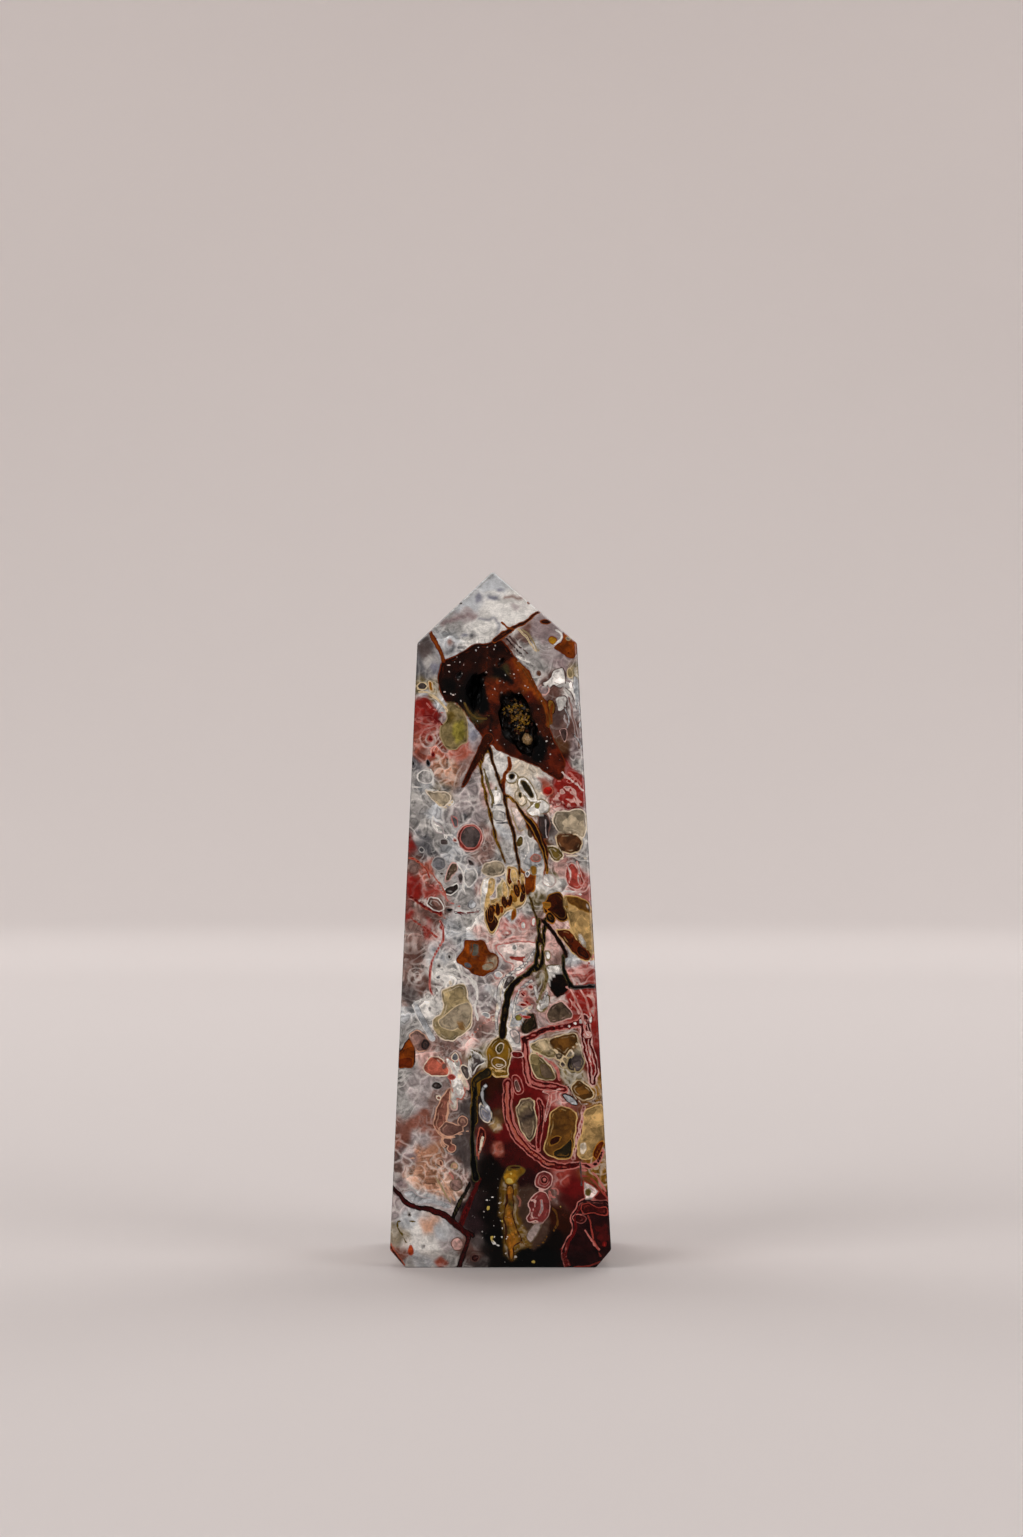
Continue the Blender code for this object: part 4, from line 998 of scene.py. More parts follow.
LINE_MARKS: tuple[Mark, ...] = (
    Veins("hairline_low", Tone.PLUM, Tone.PLUM,
        "0.9,90,0.2 2.7,87.8,0.18 3.3,87.5,0.18"),
    Veins("hairline_high", Tone.PLUM_GREY, Tone.PLUM_GREY,
        "1.3,90.3,0.18 2.5,88.9,0.18 3.9,87.8,0.18"),
    Patch("thin_triangle", Tone.PLUM_GREY, Tone.PALE_PINK,
        "8.3,76.8 9.5,77.2 9.4,74.8"),
    Veins("pale_strip", Tone.PINK_GREY, Tone.LILAC_MIST,
        "9.8,81.5,0.31 10.6,77.5,0.35 11,76,0.31 11.3,74.2,0.31"),
    Veins("stem_lens", Tone.KHAKI, Tone.OLIVE,
        "-2.4,71.4,0.18 -1.9,69,0.35 -1.1,67,0.4 -1.3,65.7,0.18"),
    Veins("lilac_mist_veins", Tone.LILAC_MIST, Tone.LILAC_MIST,
        "9.2,79,0.15 9,78.4,0.15 9.8,77.5,0.18 / 6.4,64,0.15 6.6,61.3,0.15"),
    Veins("white_arm", Tone.CLOUD, Tone.SNOW,
        "-12.2,37.6,0.57 -11.6,36,0.79 -9.7,32.7,0.75"),
    Veins("red_edge_top", Tone.ROSE, Tone.PINK,
        "-8.7,49.6,0.26 -8.1,48.3,0.31 -8.3,46.6,0.31"),
    Veins("dark_hair", Tone.MAUVE, Tone.MAUVE,
        "1.4,46.5,0.15 5.4,46.7,0.15"),
    Veins("red_veins", Tone.RED, Tone.PINK,
        "-8.3,46.7,0.22 -9.8,43.8,0.26 -10.1,42.2,0.26 -10.1,40.3,0.26 -9.7,38.8,0.18 / 13.4,44.8,0.26 "
        "12.3,43,0.22"),
    Spots("loop_a_core", Tone.GARNET, Tone.PINK,
        "2.4,30.5,0.57,0.2,6"),
    Patch("loop_b_core", Tone.MAUVE, Tone.PALE_PINK,
        "1.9,26.7 2.3,27 2.7,26.3 2.9,25.3 2.4,25.1 2,25.9"),
    Veins("pink_veins", Tone.PINK, Tone.PALE_PINK,
        "6,25.4,0.26 7.1,25,0.48 8,25.3,0.35 8.6,25.7,0.22 / 7.1,25,0.35 7,23.7,0.44 6.3,21,0.26"),
    Veins("vee_line", Tone.IVORY, Tone.GARNET,
        "9.6,25.9,0.2 11.5,23.2,0.22 12.3,23.5,0.22 13.4,24.1,0.22 14.6,24,0.2"),
    Spots("blob_pupil", Tone.OLIVE, Tone.IVORY,
        "-0.1,29,0.57,0.2,6"),
    Veins("blob_swirl", Tone.HONEY_CREAM, Tone.HONEY_CREAM,
        "-2.1,28.4,0.22 -1.1,27.6,0.22 0.2,27.3,0.22 1.1,27.3,0.2"),
    Veins("blob_swirl_in", Tone.HONEY_CREAM, Tone.HONEY_CREAM,
        "-1.5,28.6,0.18 -0.4,28.1,0.18 0.8,28.2,0.18"),
    Veins("gold_thread", Tone.OLIVE_GOLD, Tone.OLIVE_GOLD,
        "-2.7,27.9,0.35 -3.1,26.6,0.31 -2.9,25.2,0.26 -3.2,24.5,0.22"),
    Veins("ivory_veins", Tone.IVORY, Tone.IVORY,
        "7.1,58.5,0.2 8,57.8,0.2 9.2,58.7,0.2 10.4,59,0.2 12.2,58.4,0.2 / 0.9,41.9,0.2 0.3,40.6,0.24 "
        "-0.5,37.1,0.24 -0.6,36,0.22 -1.2,35.2,0.2 / -2.5,18.9,0.22 -2.7,17.7,0.31 -3,16.7,0.22"),
    Veins("pale_peach_veins", Tone.PALE_PEACH, Tone.PALE_PEACH,
        "-9.2,19.9,0.26 -8.5,19,0.31 -7.9,18.8,0.35 -7,18.8,0.35 -5.9,19.1,0.26 -4.7,19.6,0.22 / "
        "-8.2,18.8,0.26 -8.4,17.7,0.26 -7.9,17.5,0.26 / -7.2,25.2,0.2 -7.7,21,0.2 / -13.3,15.5,0.18 "
        "-10.7,16.6,0.2 / -12.4,13.3,0.2 -12.1,14.2,0.22 -11.5,13.8,0.22 -10.9,14.4,0.2 -10.6,15,0.18 / "
        "-9.7,13.8,0.18 -8.7,15.2,0.2 / -11,12.2,0.24 -10.2,11.8,0.26 -9.4,12.4,0.26 -8.6,11.6,0.22 / "
        "-9,13.8,0.18 -6.5,9.8,0.18"),
    Veins("beige_veins", Tone.BEIGE, Tone.BEIGE,
        "3.1,91.4,0.15 4,90.6,0.15 5.5,88.2,0.15 / -9.4,13.2,0.15 -8.5,12,0.18 -7.9,10.7,0.18 -7,9.5,0.15"),
    Veins("olive_veins", Tone.OLIVE, Tone.OLIVE,
        "-3.9,21,0.2 -4.1,16.6,0.2 / -12,6.7,0.18 -13.7,7.1,0.22 -14.8,6.8,0.22 -14.7,5.9,0.22 "
        "-13.9,4.9,0.2 -13.4,3.8,0.18"),
    Spots("bulb_pupil", Tone.SOOT, Tone.PALE_GOLD,
        "1.5,13.5,0.26,0.18"),
    Spots("curl_ring", Tone.GARNET, Tone.PINK,
        "6.2,12.7,0.61,0.59"),
    Veins("curl_swirl", Tone.PALE_PINK, Tone.PALE_PINK,
        "4.4,9.8,0.2 5.1,10,0.2 4.9,8.9,0.2 4.3,7.8,0.2 4.7,7.4,0.18"),
    Veins("curl_light", Tone.LILAC_MIST, Tone.PINK,
        "5.8,9.8,0.31 5.9,8.5,0.44 5.5,7.6,0.31"),
    Veins("curl_hook", Tone.PINK, Tone.PINK,
        "7.1,9.8,0.2 6.9,10.9,0.22 7.5,11.7,0.22 8.2,11.3,0.22 8.1,10.4,0.22 7.5,10.2,0.2 7.2,10.8,0.18"),
    Veins("salmon_veins", Tone.SALMON, Tone.SALMON,
        "-13.2,58.7,0.2 -12,58.2,0.2 -10.7,57.2,0.2 -8.5,54.7,0.2 -7.9,53.2,0.18 / -2.9,16.7,0.18 "
        "-3.3,15.5,0.18 / 0.9,26.1,0.2 0.9,23.9,0.2 1.1,21.4,0.2 2,19.4,0.2 3.3,17.6,0.2 6.4,15,0.2 "
        "8.6,14.6,0.2 11,14.7,0.2"),
    Veins("wedge_crack", Tone.SOOT, Tone.SMOKE,
        "11.2,15.5,0.2 11.5,13.8,0.2 11.5,11.9,0.18"),
    Veins("rose_veins", Tone.ROSE, Tone.ROSE,
        "-13.1,50.1,0.26 -12,49.2,0.24 -10.3,48.2,0.24 -9,47.1,0.22 / 1.3,44.4,0.26 2.4,44.2,0.31 "
        "3.3,44.4,0.26 3.6,45,0.2 / 1.6,43.7,0.2 2.5,43.8,0.24 3.1,44,0.18 / 11.8,13.3,0.2 12.8,13.1,0.2 "
        "13.6,12.2,0.2 15.2,10,0.2 / 12.3,7.8,0.18 12.9,6.5,0.18 13,5,0.18 14.3,1.7,0.15 / 15.2,1.9,0.18 "
        "14.3,0.8,0.18 13,0.3,0.18 10.4,0.1,0.18"),
    Veins("hollow_gold", Tone.OCHRE_BROWN, Tone.OLIVE,
        "-5.3,80.8,0.26 -4.7,79.6,0.26 -3.7,78.6,0.26 -2.4,78.3,0.22 -1.7,78.9,0.18"),
    # Painted glints: small pale specks in the vug, for light caught by its crystals.
    Spots("snow_pink_spots", Tone.SNOW_PINK, Tone.SNOW_PINK,
        "-7.5,86.2,0.26,0.11 -5.3,86.3,0.11,0.2 -5.9,86.8,0.11,0.11 -8.1,82.3,0.18,0.11 -6.8,81.9,0.2,0.09 "
        "-1,87.2,0.11,0.18 1.4,86.8,0.18,0.11 2,84.8,0.15,0.11 1.9,83.8,0.15,0.15 2.7,82,0.11,0.18 "
        "3.5,83.2,0.11,0.18 0.2,82.1,0.13,0.13 5.1,77.5,0.15,0.13 -1.4,76.8,0.15,0.13 1.4,76.5,0.22,0.11 "
        "-2.1,85.1,0.2,0.11"),
    Veins("glint_curl", Tone.CLOUD, Tone.CLOUD,
        "-3.2,88.7,0.11 -3.6,88.4,0.13 -3.4,88,0.11"),
    Veins("steel_veins", Tone.STEEL, Tone.STEEL,
        "-1.2,65.7,0.18 -0.2,66.2,0.26 0.6,65.9,0.18 / -0.5,63.4,0.26 0.9,63.8,0.4 1.6,63.1,0.22"),
    Veins("foam_line_d", Tone.SNOW, Tone.STEEL,
        "-6.5,50.6,0.31 -5,50.4,0.31 -3.7,50.8,0.31 -2.8,51.5,0.26"),
    Veins("cream_veins", Tone.CREAM, Tone.CREAM,
        "2.6,91.3,0.22 3.6,90.5,0.2 4.6,88.7,0.2 5.3,88,0.2 / -11.8,82.2,0.26 -10.5,82.3,0.26 "
        "-9.4,81.5,0.31 -8.3,80.4,0.26 -7.6,79.5,0.26 / -9.6,66.8,0.2 -8.5,65.9,0.22 -7.6,65.7,0.22 "
        "-6.8,66.8,0.2"),
    Veins("red_thread_d", Tone.RED, Tone.SALMON,
        "-13.2,58.6,0.26 -11.8,58,0.31 -10.7,57.1,0.26 -10.1,55.6,0.22"),
    Veins("red_thread_e", Tone.CRIMSON, Tone.SALMON,
        "-13.5,53.2,0.22 -12,52.3,0.22 -10.7,51.2,0.22 -9,50.6,0.2 -7.9,49.9,0.2"),
    Veins("pink_veins_in_pink", Tone.PINK, Tone.PINK,
        "-10.7,80.7,0.18 -10.1,80.1,0.2 -9.2,79.6,0.18 -8.3,79.3,0.15 / -12,77.9,0.18 -10.9,78.4,0.2 "
        "-9.8,77.9,0.18 -8.5,77.5,0.15 / 8.2,69.5,0.2 9.3,69.9,0.2 9.8,70.9,0.2 10.4,70.2,0.2 11.7,69,0.2 / "
        "5.1,30.6,0.24 6.4,30,0.24 7.3,29.3,0.31 8.2,28.2,0.35 8.4,26.9,0.26 / 3.5,32,0.2 3.7,28.9,0.2 "
        "4.2,26,0.2 / -7.4,13.8,0.18 -6.9,13.3,0.2 -6.8,12.7,0.18 / 1.8,25.6,0.2 1.5,23.4,0.2 1.7,21.4,0.2 "
        "2.6,19.6,0.2 3.7,18.2,0.2 5.4,17,0.18 / 11.7,14.1,0.22 13,13.9,0.22 13.9,12.9,0.22 15,11.1,0.22 / "
        "12,5.6,0.18 13.4,3.4,0.18 14.1,2.8,0.18 / -10.7,55,0.2 -9.4,54.3,0.2 -8.3,53.4,0.2 -7.4,52.3,0.2 "
        "-5.9,51.5,0.2"),
    Veins("wave_five", Tone.SNOW_PINK, Tone.SNOW_PINK,
        "8.8,70.8,0.22 9.8,69.8,0.22 11,69,0.22 11.9,68,0.2"),
    Veins("pale_pink_veins", Tone.PALE_PINK, Tone.PALE_PINK,
        "7.3,66.6,0.24 8.2,67.8,0.24 9.4,68.7,0.26 10.5,68.4,0.24 10.9,67.3,0.24 9.9,66.4,0.22 / "
        "7.2,65.7,0.2 8.4,66.1,0.2 9.3,66.9,0.2 10.6,66.9,0.2 11.6,66.4,0.2 / 11.9,39,0.18 12.7,38.8,0.22 "
        "13.3,38.2,0.2 13.4,37.1,0.18 / 9.9,38.4,0.15 10.7,37.3,0.18 11.2,36.2,0.15 / 8,66.8,0.26 "
        "8.6,67.7,0.26 9.7,68.1,0.26 10.6,67.7,0.26 11.3,66.5,0.26 / 9.7,65.9,0.29 10,66.6,0.26 "
        "10.9,66.7,0.26 11.1,65.9,0.26"),
    Veins("crimson_veins", Tone.CRIMSON, Tone.CRIMSON,
        "-12,78.5,0.22 -10.7,79,0.26 -9.4,78.6,0.26 -8.3,77.6,0.18 / -13.4,53.2,0.26 -12,52.5,0.26 "
        "-10.7,51.4,0.26 -9,50.5,0.24 -7.6,51.2,0.2 -5.9,50.6,0.15 -3.2,50.8,0.15 / 11.2,8.9,0.31 "
        "11,8.1,0.31 10.5,7.6,0.26 10.6,6.5,0.26 10.8,5.9,0.31 10.1,4.5,0.31 9.4,3.4,0.31 9.2,1.9,0.31 "
        "9.6,0.4,0.26 / 7.5,66.2,0.22 8.6,66.6,0.26 9.5,65.5,0.24 11.2,65.7,0.2"),
    Veins("river_line_c", Tone.CLOUD, Tone.STEEL,
        "-12.2,37.7,0.57 -11.4,36,0.66 -10.5,34.2,0.66 -9.6,32.8,0.53"),
    Veins("snow_veins", Tone.SNOW, Tone.SNOW,
        "8,91.3,0.2 8.8,90.8,0.2 8.8,90,0.2 8,89.2,0.2 6.9,88.7,0.2 / 2.4,87.4,0.22 3.3,86.9,0.35 "
        "4.1,86.6,0.26 / 8.3,54.1,0.22 9.3,53.8,0.22 10.4,53.7,0.2 11.5,53.3,0.18 / -12.4,37.6,0.4 "
        "-11.4,38.2,0.35 -10.1,38.3,0.31 -9.1,39.2,0.31 -8.5,39.9,0.22 / -9.4,42.8,0.22 -7.6,42.9,0.24 "
        "-5.9,42.3,0.24 -4.3,41.4,0.22 -3.7,39.9,0.2 / -8.3,42,0.2 -7,41.9,0.2 -5.7,41.3,0.2 -4.8,40.3,0.2 "
        "/ -4.3,31.1,0.22 -3.2,30.6,0.22 -2,29.7,0.22 / -4.2,27.3,0.2 -4.7,28.5,0.22 -4.4,29.8,0.2 / "
        "-6.3,57.8,0.2 -5.4,56.7,0.2 -5.2,55.6,0.2 -5.4,54.3,0.2 -5,53.4,0.2 / -7.9,61.3,0.2 -7.2,62,0.2 "
        "-6.3,61.3,0.2 -5.9,60.2,0.2 / -9.7,64.4,0.2 -9.8,63.5,0.2 -9.2,62.4,0.24 -7.9,61.8,0.22 / "
        "-12.7,68.8,0.2 -9.6,68.1,0.2 -8.3,68.1,0.2 / -10.1,71.2,0.22 -9.5,70.1,0.22 -9.8,69,0.2 / "
        "-9,42.5,0.26 -7.6,42.9,0.26 -5.9,42.3,0.26 -4.1,41.2,0.24 / -9.4,40.3,0.26 -8.5,39.9,0.24 "
        "-7.6,41,0.2 / -3.7,41,0.24 -3.2,39.2,0.24 -3.7,37.3,0.24 -3.2,35.5,0.22"),
    Veins("snow_veins_in_mist", Tone.SNOW, Tone.MIST,
        "3.1,63.1,0.22 3.8,62.2,0.26 3.6,61.1,0.26 4.2,60,0.31 3.7,58.9,0.26 3.1,58,0.26 / -2.4,38.6,0.24 "
        "-1.4,39.3,0.22 -0.8,40.3,0.22 -1.2,38.2,0.24 -2.1,37.2,0.22"),
    Veins("river_line_f", Tone.SNOW_PINK, Tone.SALMON,
        "-5,32.8,0.24 -3.9,33.3,0.24 -3,34.4,0.22 -1.9,35.5,0.22 -0.6,35.9,0.22"),
    Veins("snow_pink_veins", Tone.SNOW_PINK, Tone.PINK,
        "13.1,37.3,0.29 12.8,36,0.33 12.1,35,0.26 11.9,33.9,0.26 12.6,32.8,0.29 13,33.5,0.22 / "
        "12.5,31.6,0.22 12.8,30.7,0.29 12.7,29.8,0.29 13,29.1,0.22"),
    Veins("pale_pink_veins_in_pink", Tone.PALE_PINK, Tone.PINK,
        "11.9,39,0.24 12.8,39,0.26 13.5,38.1,0.22 / 10,37.1,0.2 10.5,38.2,0.2 11,38.8,0.2"),
    Veins("gold_fringe", Tone.OCHRE, Tone.OCHRE_BROWN,
        "2.5,4.1,0.22 3.6,3.4,0.24 4.7,3,0.24 5.8,3.6,0.22 6.7,4.8,0.2"),
    Veins("gold_wisp", Tone.OCHRE_BROWN, Tone.OCHRE_BROWN,
        "7.3,8.9,0.2 8,8.1,0.26 8.2,6.5,0.26 7.5,5.4,0.2"),
    Veins("copper_wisp", Tone.ROSE_GREY, Tone.ROSE_GREY,
        "2.2,10.5,0.2 2.9,10,0.24 2.7,8.9,0.2"),
    # Painted glints: small white and pale gold specks, mostly in the low black band.
    Spots("snow_spots", Tone.SNOW, Tone.SNOW,
        "-1.1,10.3,0.18,0.18 -2,10,0.13,0.2 -5.3,5.2,0.13,0.13 -0.9,3.8,0.24,0.18 -0.4,3.3,0.29,0.13 "
        "0.1,4.5,0.13,0.24 0.7,2.3,0.15,0.13 2.2,1.7,0.2,0.2 -0.1,9.4,0.13,0.29 -4.2,12.6,0.13,0.13 "
        "-9.7,0.1,0.18,0.2 -0.4,15.2,0.11,0.11"),
    Spots("pale_gold_spots", Tone.PALE_GOLD, Tone.PALE_GOLD,
        "4.7,0.9,0.26,0.24 0.3,6.9,0.13,0.2 -1.7,8.7,0.2,0.35 -1.2,4.5,0.15,0.31 8.5,8.8,0.15,0.15"),
    Veins("wine_line_a", Tone.PINK, Tone.CRIMSON,
        "9.3,3.7,0.2 9.2,1.9,0.2 9.9,0.4,0.2"),
    Veins("wine_line_b", Tone.ROSE, Tone.CRIMSON,
        "8.6,3,0.18 8.8,1.5,0.18 9.4,0,0.18"),
    Spots("pale_flames", Tone.HONEY_CREAM, Tone.IVORY,
        "-1.3,54.4,0.5,1.3,8 0.6,54,0.45,1.2,-8 -1.9,52.4,0.4,1.1,5 1.9,55.8,0.4,1.1,-10 3.1,55.4,0.35,1,-5"),
    Spots("dark_flames", Tone.UMBER, Tone.HONEY,
        "-1.4,50.5,0.5,1.3,5 0.5,52.2,0.4,0.9,-10 2.3,53.9,0.4,1,-12 3.2,54.2,0.35,0.9,-8 "
        "-0.4,51.2,0.35,0.9 1.4,52.4,0.35,0.9,15"),
    Veins("trunk_border", Tone.SNOW, Tone.STEEL,
        "5,45.4,0.4 3.7,43.5,0.5 2.2,42.4,0.4 0.7,41.6,0.5 -0.2,40.3,0.45 -0.4,38.6,0.5 0,37.5,0.35 "
        "-0.6,36.3,0.45 -0.5,34.1,0.35 / 4.4,41,0.5 3.2,40.1,0.35 2.4,39.4,0.4 2,37.4,0.35 1.9,35.6,0.4 / "
        "4.9,40.2,0.35 5.2,38.6,0.5 6,37.6,0.35 6.6,39.3,0.35"),
    Veins("red_specks", Tone.RED, Tone.PINK,
        "3.4,38.2,0.35 4.1,37.6,0.4 4.7,37.9,0.3 / 2.8,36.2,0.3 3.5,35.8,0.4 4.2,35.9,0.3 / 3.1,39.4,0.25 "
        "3.7,39,0.35"),
    Veins("fan_rays", Tone.PALE_PINK, Tone.PINK,
        "9.4,40.2,0.28 10.5,38.9,0.3 11.4,37,0.28 11.9,35,0.25 / 11,40.5,0.28 12,39,0.28 12.6,36.9,0.25 / "
        "12.9,39.7,0.25 13.3,37.9,0.28 13.3,36,0.25"),
    Veins("low_red_lines", Tone.SNOW_PINK, Tone.PINK,
        "9.5,57.6,0.26 10.1,56.2,0.3 9.9,54.9,0.26 / 10.9,58,0.26 11.3,56.6,0.28 10.9,55.3,0.26 "
        "11.6,54.4,0.24"),
    Veins("jasper_rim", Tone.AMBER, Tone.OCHRE_BROWN,
        "2.5,86.6,0.3 4,84.5,0.4 5.7,81.8,0.45 6.5,80,0.35 6.9,77.3,0.3 / 7.4,80.6,0.3 7.2,79.2,0.4 "
        "7.3,77.8,0.3"),
    Veins("edge_streaks", Tone.CLOUD, Tone.PLUM_GREY,
        "11.6,80.6,0.3 11.2,79.5,0.35 11.9,78.6,0.3 11.3,77.3,0.35 / 9.2,80,0.28 9.9,78.5,0.3 9.5,77,0.28 / "
        "10.3,76.2,0.3 11.4,75.2,0.3 11.9,73.9,0.26"),
)


VEIN_MARKS: tuple[Mark, ...] = (
    Veins("tip_crack", Tone.UMBER, Tone.AMBER,
        "5.8,94.2,0.31 3.3,92.3,0.4 2,91.6,0.53 0.9,90.9,0.75 -0.2,90.2,0.88 -0.9,89.6,0.57"),
    Veins("crack_spur", Tone.AMBER, Tone.AMBER,
        "0.2,92.4,0.15 0.9,91.6,0.22 1.8,91.3,0.31"),
    Veins("left_amber_vein", Tone.AMBER, Tone.RUST,
        "-10.4,91.3,0.35 -9.1,89,0.48 -8.6,87.9,0.48 -8.3,86.8,0.53"),
    Veins("brown_tongue", Tone.UMBER, Tone.RUST,
        "-1.8,75.6,1.45 -3,73.4,0.92 -4.9,69.8,0.7 -5.4,68.7,0.48"),
    Veins("stem_one", Tone.UMBER, Tone.OLIVE_GOLD,
        "-2.1,74.1,0.66 -2.9,72.1,0.35 -2.8,70.6,0.29 -1.8,65.9,0.31 -1.2,63.8,0.33 -0.9,62,0.35 "
        "0.3,58.7,0.26 0.8,57.8,0.26"),
    Veins("stem_two", Tone.DARK_UMBER, Tone.OCHRE_BROWN,
        "-1.6,74.1,0.57 -1.3,72.8,0.35 -0.8,71.2,0.33 0.5,67.7,0.48 0.8,66.2,0.35 1.1,64.4,0.4 "
        "1.8,62.4,0.48 2.1,60.9,0.4 2.2,59.1,0.4 2.6,57.8,0.4 2.7,56.1,0.35"),
    Veins("stem_three", Tone.RUST, Tone.AMBER,
        "1.2,72.8,0.4 1.4,71.9,0.44 1.1,71,0.44 0.5,70.4,0.4 0.4,69.1,0.35 0.5,67.7,0.4"),
    Veins("stem_four", Tone.DARK_UMBER, Tone.OCHRE,
        "0.8,67.5,0.31 2,66.6,0.35 3.7,64.1,0.57 4.7,63.3,0.66 6.6,58.3,0.4 6.7,56.3,0.31"),
    Veins("trunk_start", Tone.DARK_UMBER, Tone.OLIVE,
        "4.2,53,0.26 5.3,49.5,0.31 5.8,46.4,0.44"),
    Veins("soot_veins", Tone.SOOT, Tone.OLIVE,
        "5.5,49.8,0.4 5.5,48.3,0.35 5.3,46.5,0.4 5.3,44.7,0.48 5.1,43.2,0.6 4,42.1,0.7 2.6,41.2,0.7 "
        "1.5,40.1,0.8 1,38.9,1.15 0.9,38.1,0.8 0.6,36.6,1.1 0.5,35.6,0.75 0.3,34.3,0.95 0.3,33.1,0.9 / "
        "6.4,49.8,0.48 6.2,48.3,0.44 6.2,46.5,0.4 5.9,44.7,0.44 6,43.2,0.48 5.1,42.5,0.57"),
    Veins("trunk_twig", Tone.OLIVE, Tone.KHAKI,
        "6.3,43,0.35 6.6,41.7,0.31 6.4,40.3,0.31 5.1,37.7,0.26"),
    Veins("branch_right", Tone.SOOT, Tone.SMOKE,
        "9.9,40,0.53 11.7,40.1,0.48 13.9,40.3,0.57"),
    Veins("blade_edge", Tone.SOOT, Tone.UMBER,
        "6,49.6,0.48 7.1,48.5,0.48 8.2,46.9,0.44 9.1,45.5,0.44 9.4,44.4,0.35"),
    Veins("low_trunk", Tone.DARK_OLIVE, Tone.OLIVE_GOLD,
        "-1.9,27.9,1.32 -3,27.4,1.1 -3.9,26.5,0.97 -3.6,25,0.88 -3.9,23.2,0.97 -3.7,21,0.88"),
    Veins("black_veins", Tone.BLACK, Tone.OLIVE_DARK,
        "8.9,44.5,0.35 8.9,43,0.4 9.3,41.7,0.44 10.1,40.1,0.48 / -3.6,25.6,0.5 -4,23,0.5 -3.9,20.8,0.65 "
        "-4.1,18.6,0.5 -4,16.4,0.6 -3.8,14.2,0.8 -3.5,12.9,0.9"),
    Veins("red_crack", Tone.CRIMSON_DARK, Tone.SOOT,
        "-15.8,11.9,0.48 -14.4,10.7,0.48 -13.3,9.3,0.57 -12.2,8.8,0.57 -10.7,8.7,0.61 -9.1,8.2,0.75 "
        "-7.6,7.6,0.79 -5.3,5.3,0.83 -4.1,4.9,0.75"),
    Veins("down_crack", Tone.GARNET, Tone.SOOT,
        "-4.3,5,0.61 -4.8,3.6,0.57 -6.3,-1,0.61"),
    Spots("curl_core", Tone.CRIMSON, Tone.PINK,
        "6.2,12.7,0.24,0.24"),
)


FACE_MARKS: dict[Layer, tuple[Mark, ...]] = {
    Layer.SOFT: SOFT_MARKS,
    Layer.BED: BED_MARKS,
    Layer.CELL: CELL_MARKS,
    Layer.SHADE: SHADE_MARKS,
    Layer.CORE: CORE_MARKS,
    Layer.LINE: LINE_MARKS,
    Layer.VEIN: VEIN_MARKS,
}

# The marks that are too much themselves to be seen twice.
FRONT_ONLY = (
    "vug_jasper", "yellow_green", "white_flake_low", "gold_bulb", "bulb_top", "bulb_glow", "bulb_pupil",
    "curl_head", "curl_ring", "curl_core", "curl_body", "curl_swirl", "curl_light", "curl_hook",
    "striped_dark", "speckled_wedge", "wedge_speck", "grey_orb", "orb_ring", "orb_tail", "olive_blob",
    "blob_ring", "blob_pupil", "blob_leaf", "blob_swirl", "blob_swirl_in",
)


@dataclass(frozen=True)
class Outline:
    """The tower's sizes in metres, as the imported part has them."""

    point_height: float = 0.1002
    shoulder_height: float = 0.0893
    chamfer_height: float = 0.0028
    foot_width: float = 0.0273
    body_width: float = 0.0315
    shoulder_width: float = 0.0229
    shoulder_lean: float = -0.0005
    point_lean: float = -0.0012

    def half_width(self, height: np.ndarray | float) -> np.ndarray | float:
        """Returns half the body's width at a height; the taper goes on above the shoulder."""
        share = (height - self.chamfer_height) / (self.shoulder_height - self.chamfer_height)
        return 0.5 * (self.body_width + share * (self.shoulder_width - self.body_width))


@dataclass(frozen=True)
class Pocket:
    """An opening of the vug in the front face, in metres and degrees."""

    name: str
    across: float
    up: float
    half_width: float
    half_height: float
    depth: float
    lean: float = 0.0

    def place(self, outline: Outline) -> Matrix:
        """Returns the pocket's own axes: its middle on the front face, its depth along +Y."""
        middle = Vector((self.across, -outline.half_width(self.up), self.up))
        return Matrix.Translation(middle) @ Euler((0, math.radians(self.lean), 0)).to_matrix().to_4x4()

    def radii(self) -> Vector:
        """Returns the pocket's half sizes across, into the stone and along its height."""
        return Vector((self.half_width, self.depth, self.half_height))


LEFT_POCKET = Pocket("left_pocket", -0.0037, 0.0824, 0.0012, 0.0029, 0.0030, 8)
DRUSE_POCKET = Pocket("druse_pocket", 0.0026, 0.0780, 0.0025, 0.0047, 0.0045, -20)
PINHOLES = (
    Pocket("pinhole_round", -0.0023, 0.0848, 0.0004, 0.0004, 0.0008, 0),
    Pocket("pinhole_left", -0.0060, 0.0846, 0.0005, 0.0007, 0.0006, 30),
    Pocket("pinhole_high", 0.0001, 0.0866, 0.0004, 0.0008, 0.0006, 35),
)


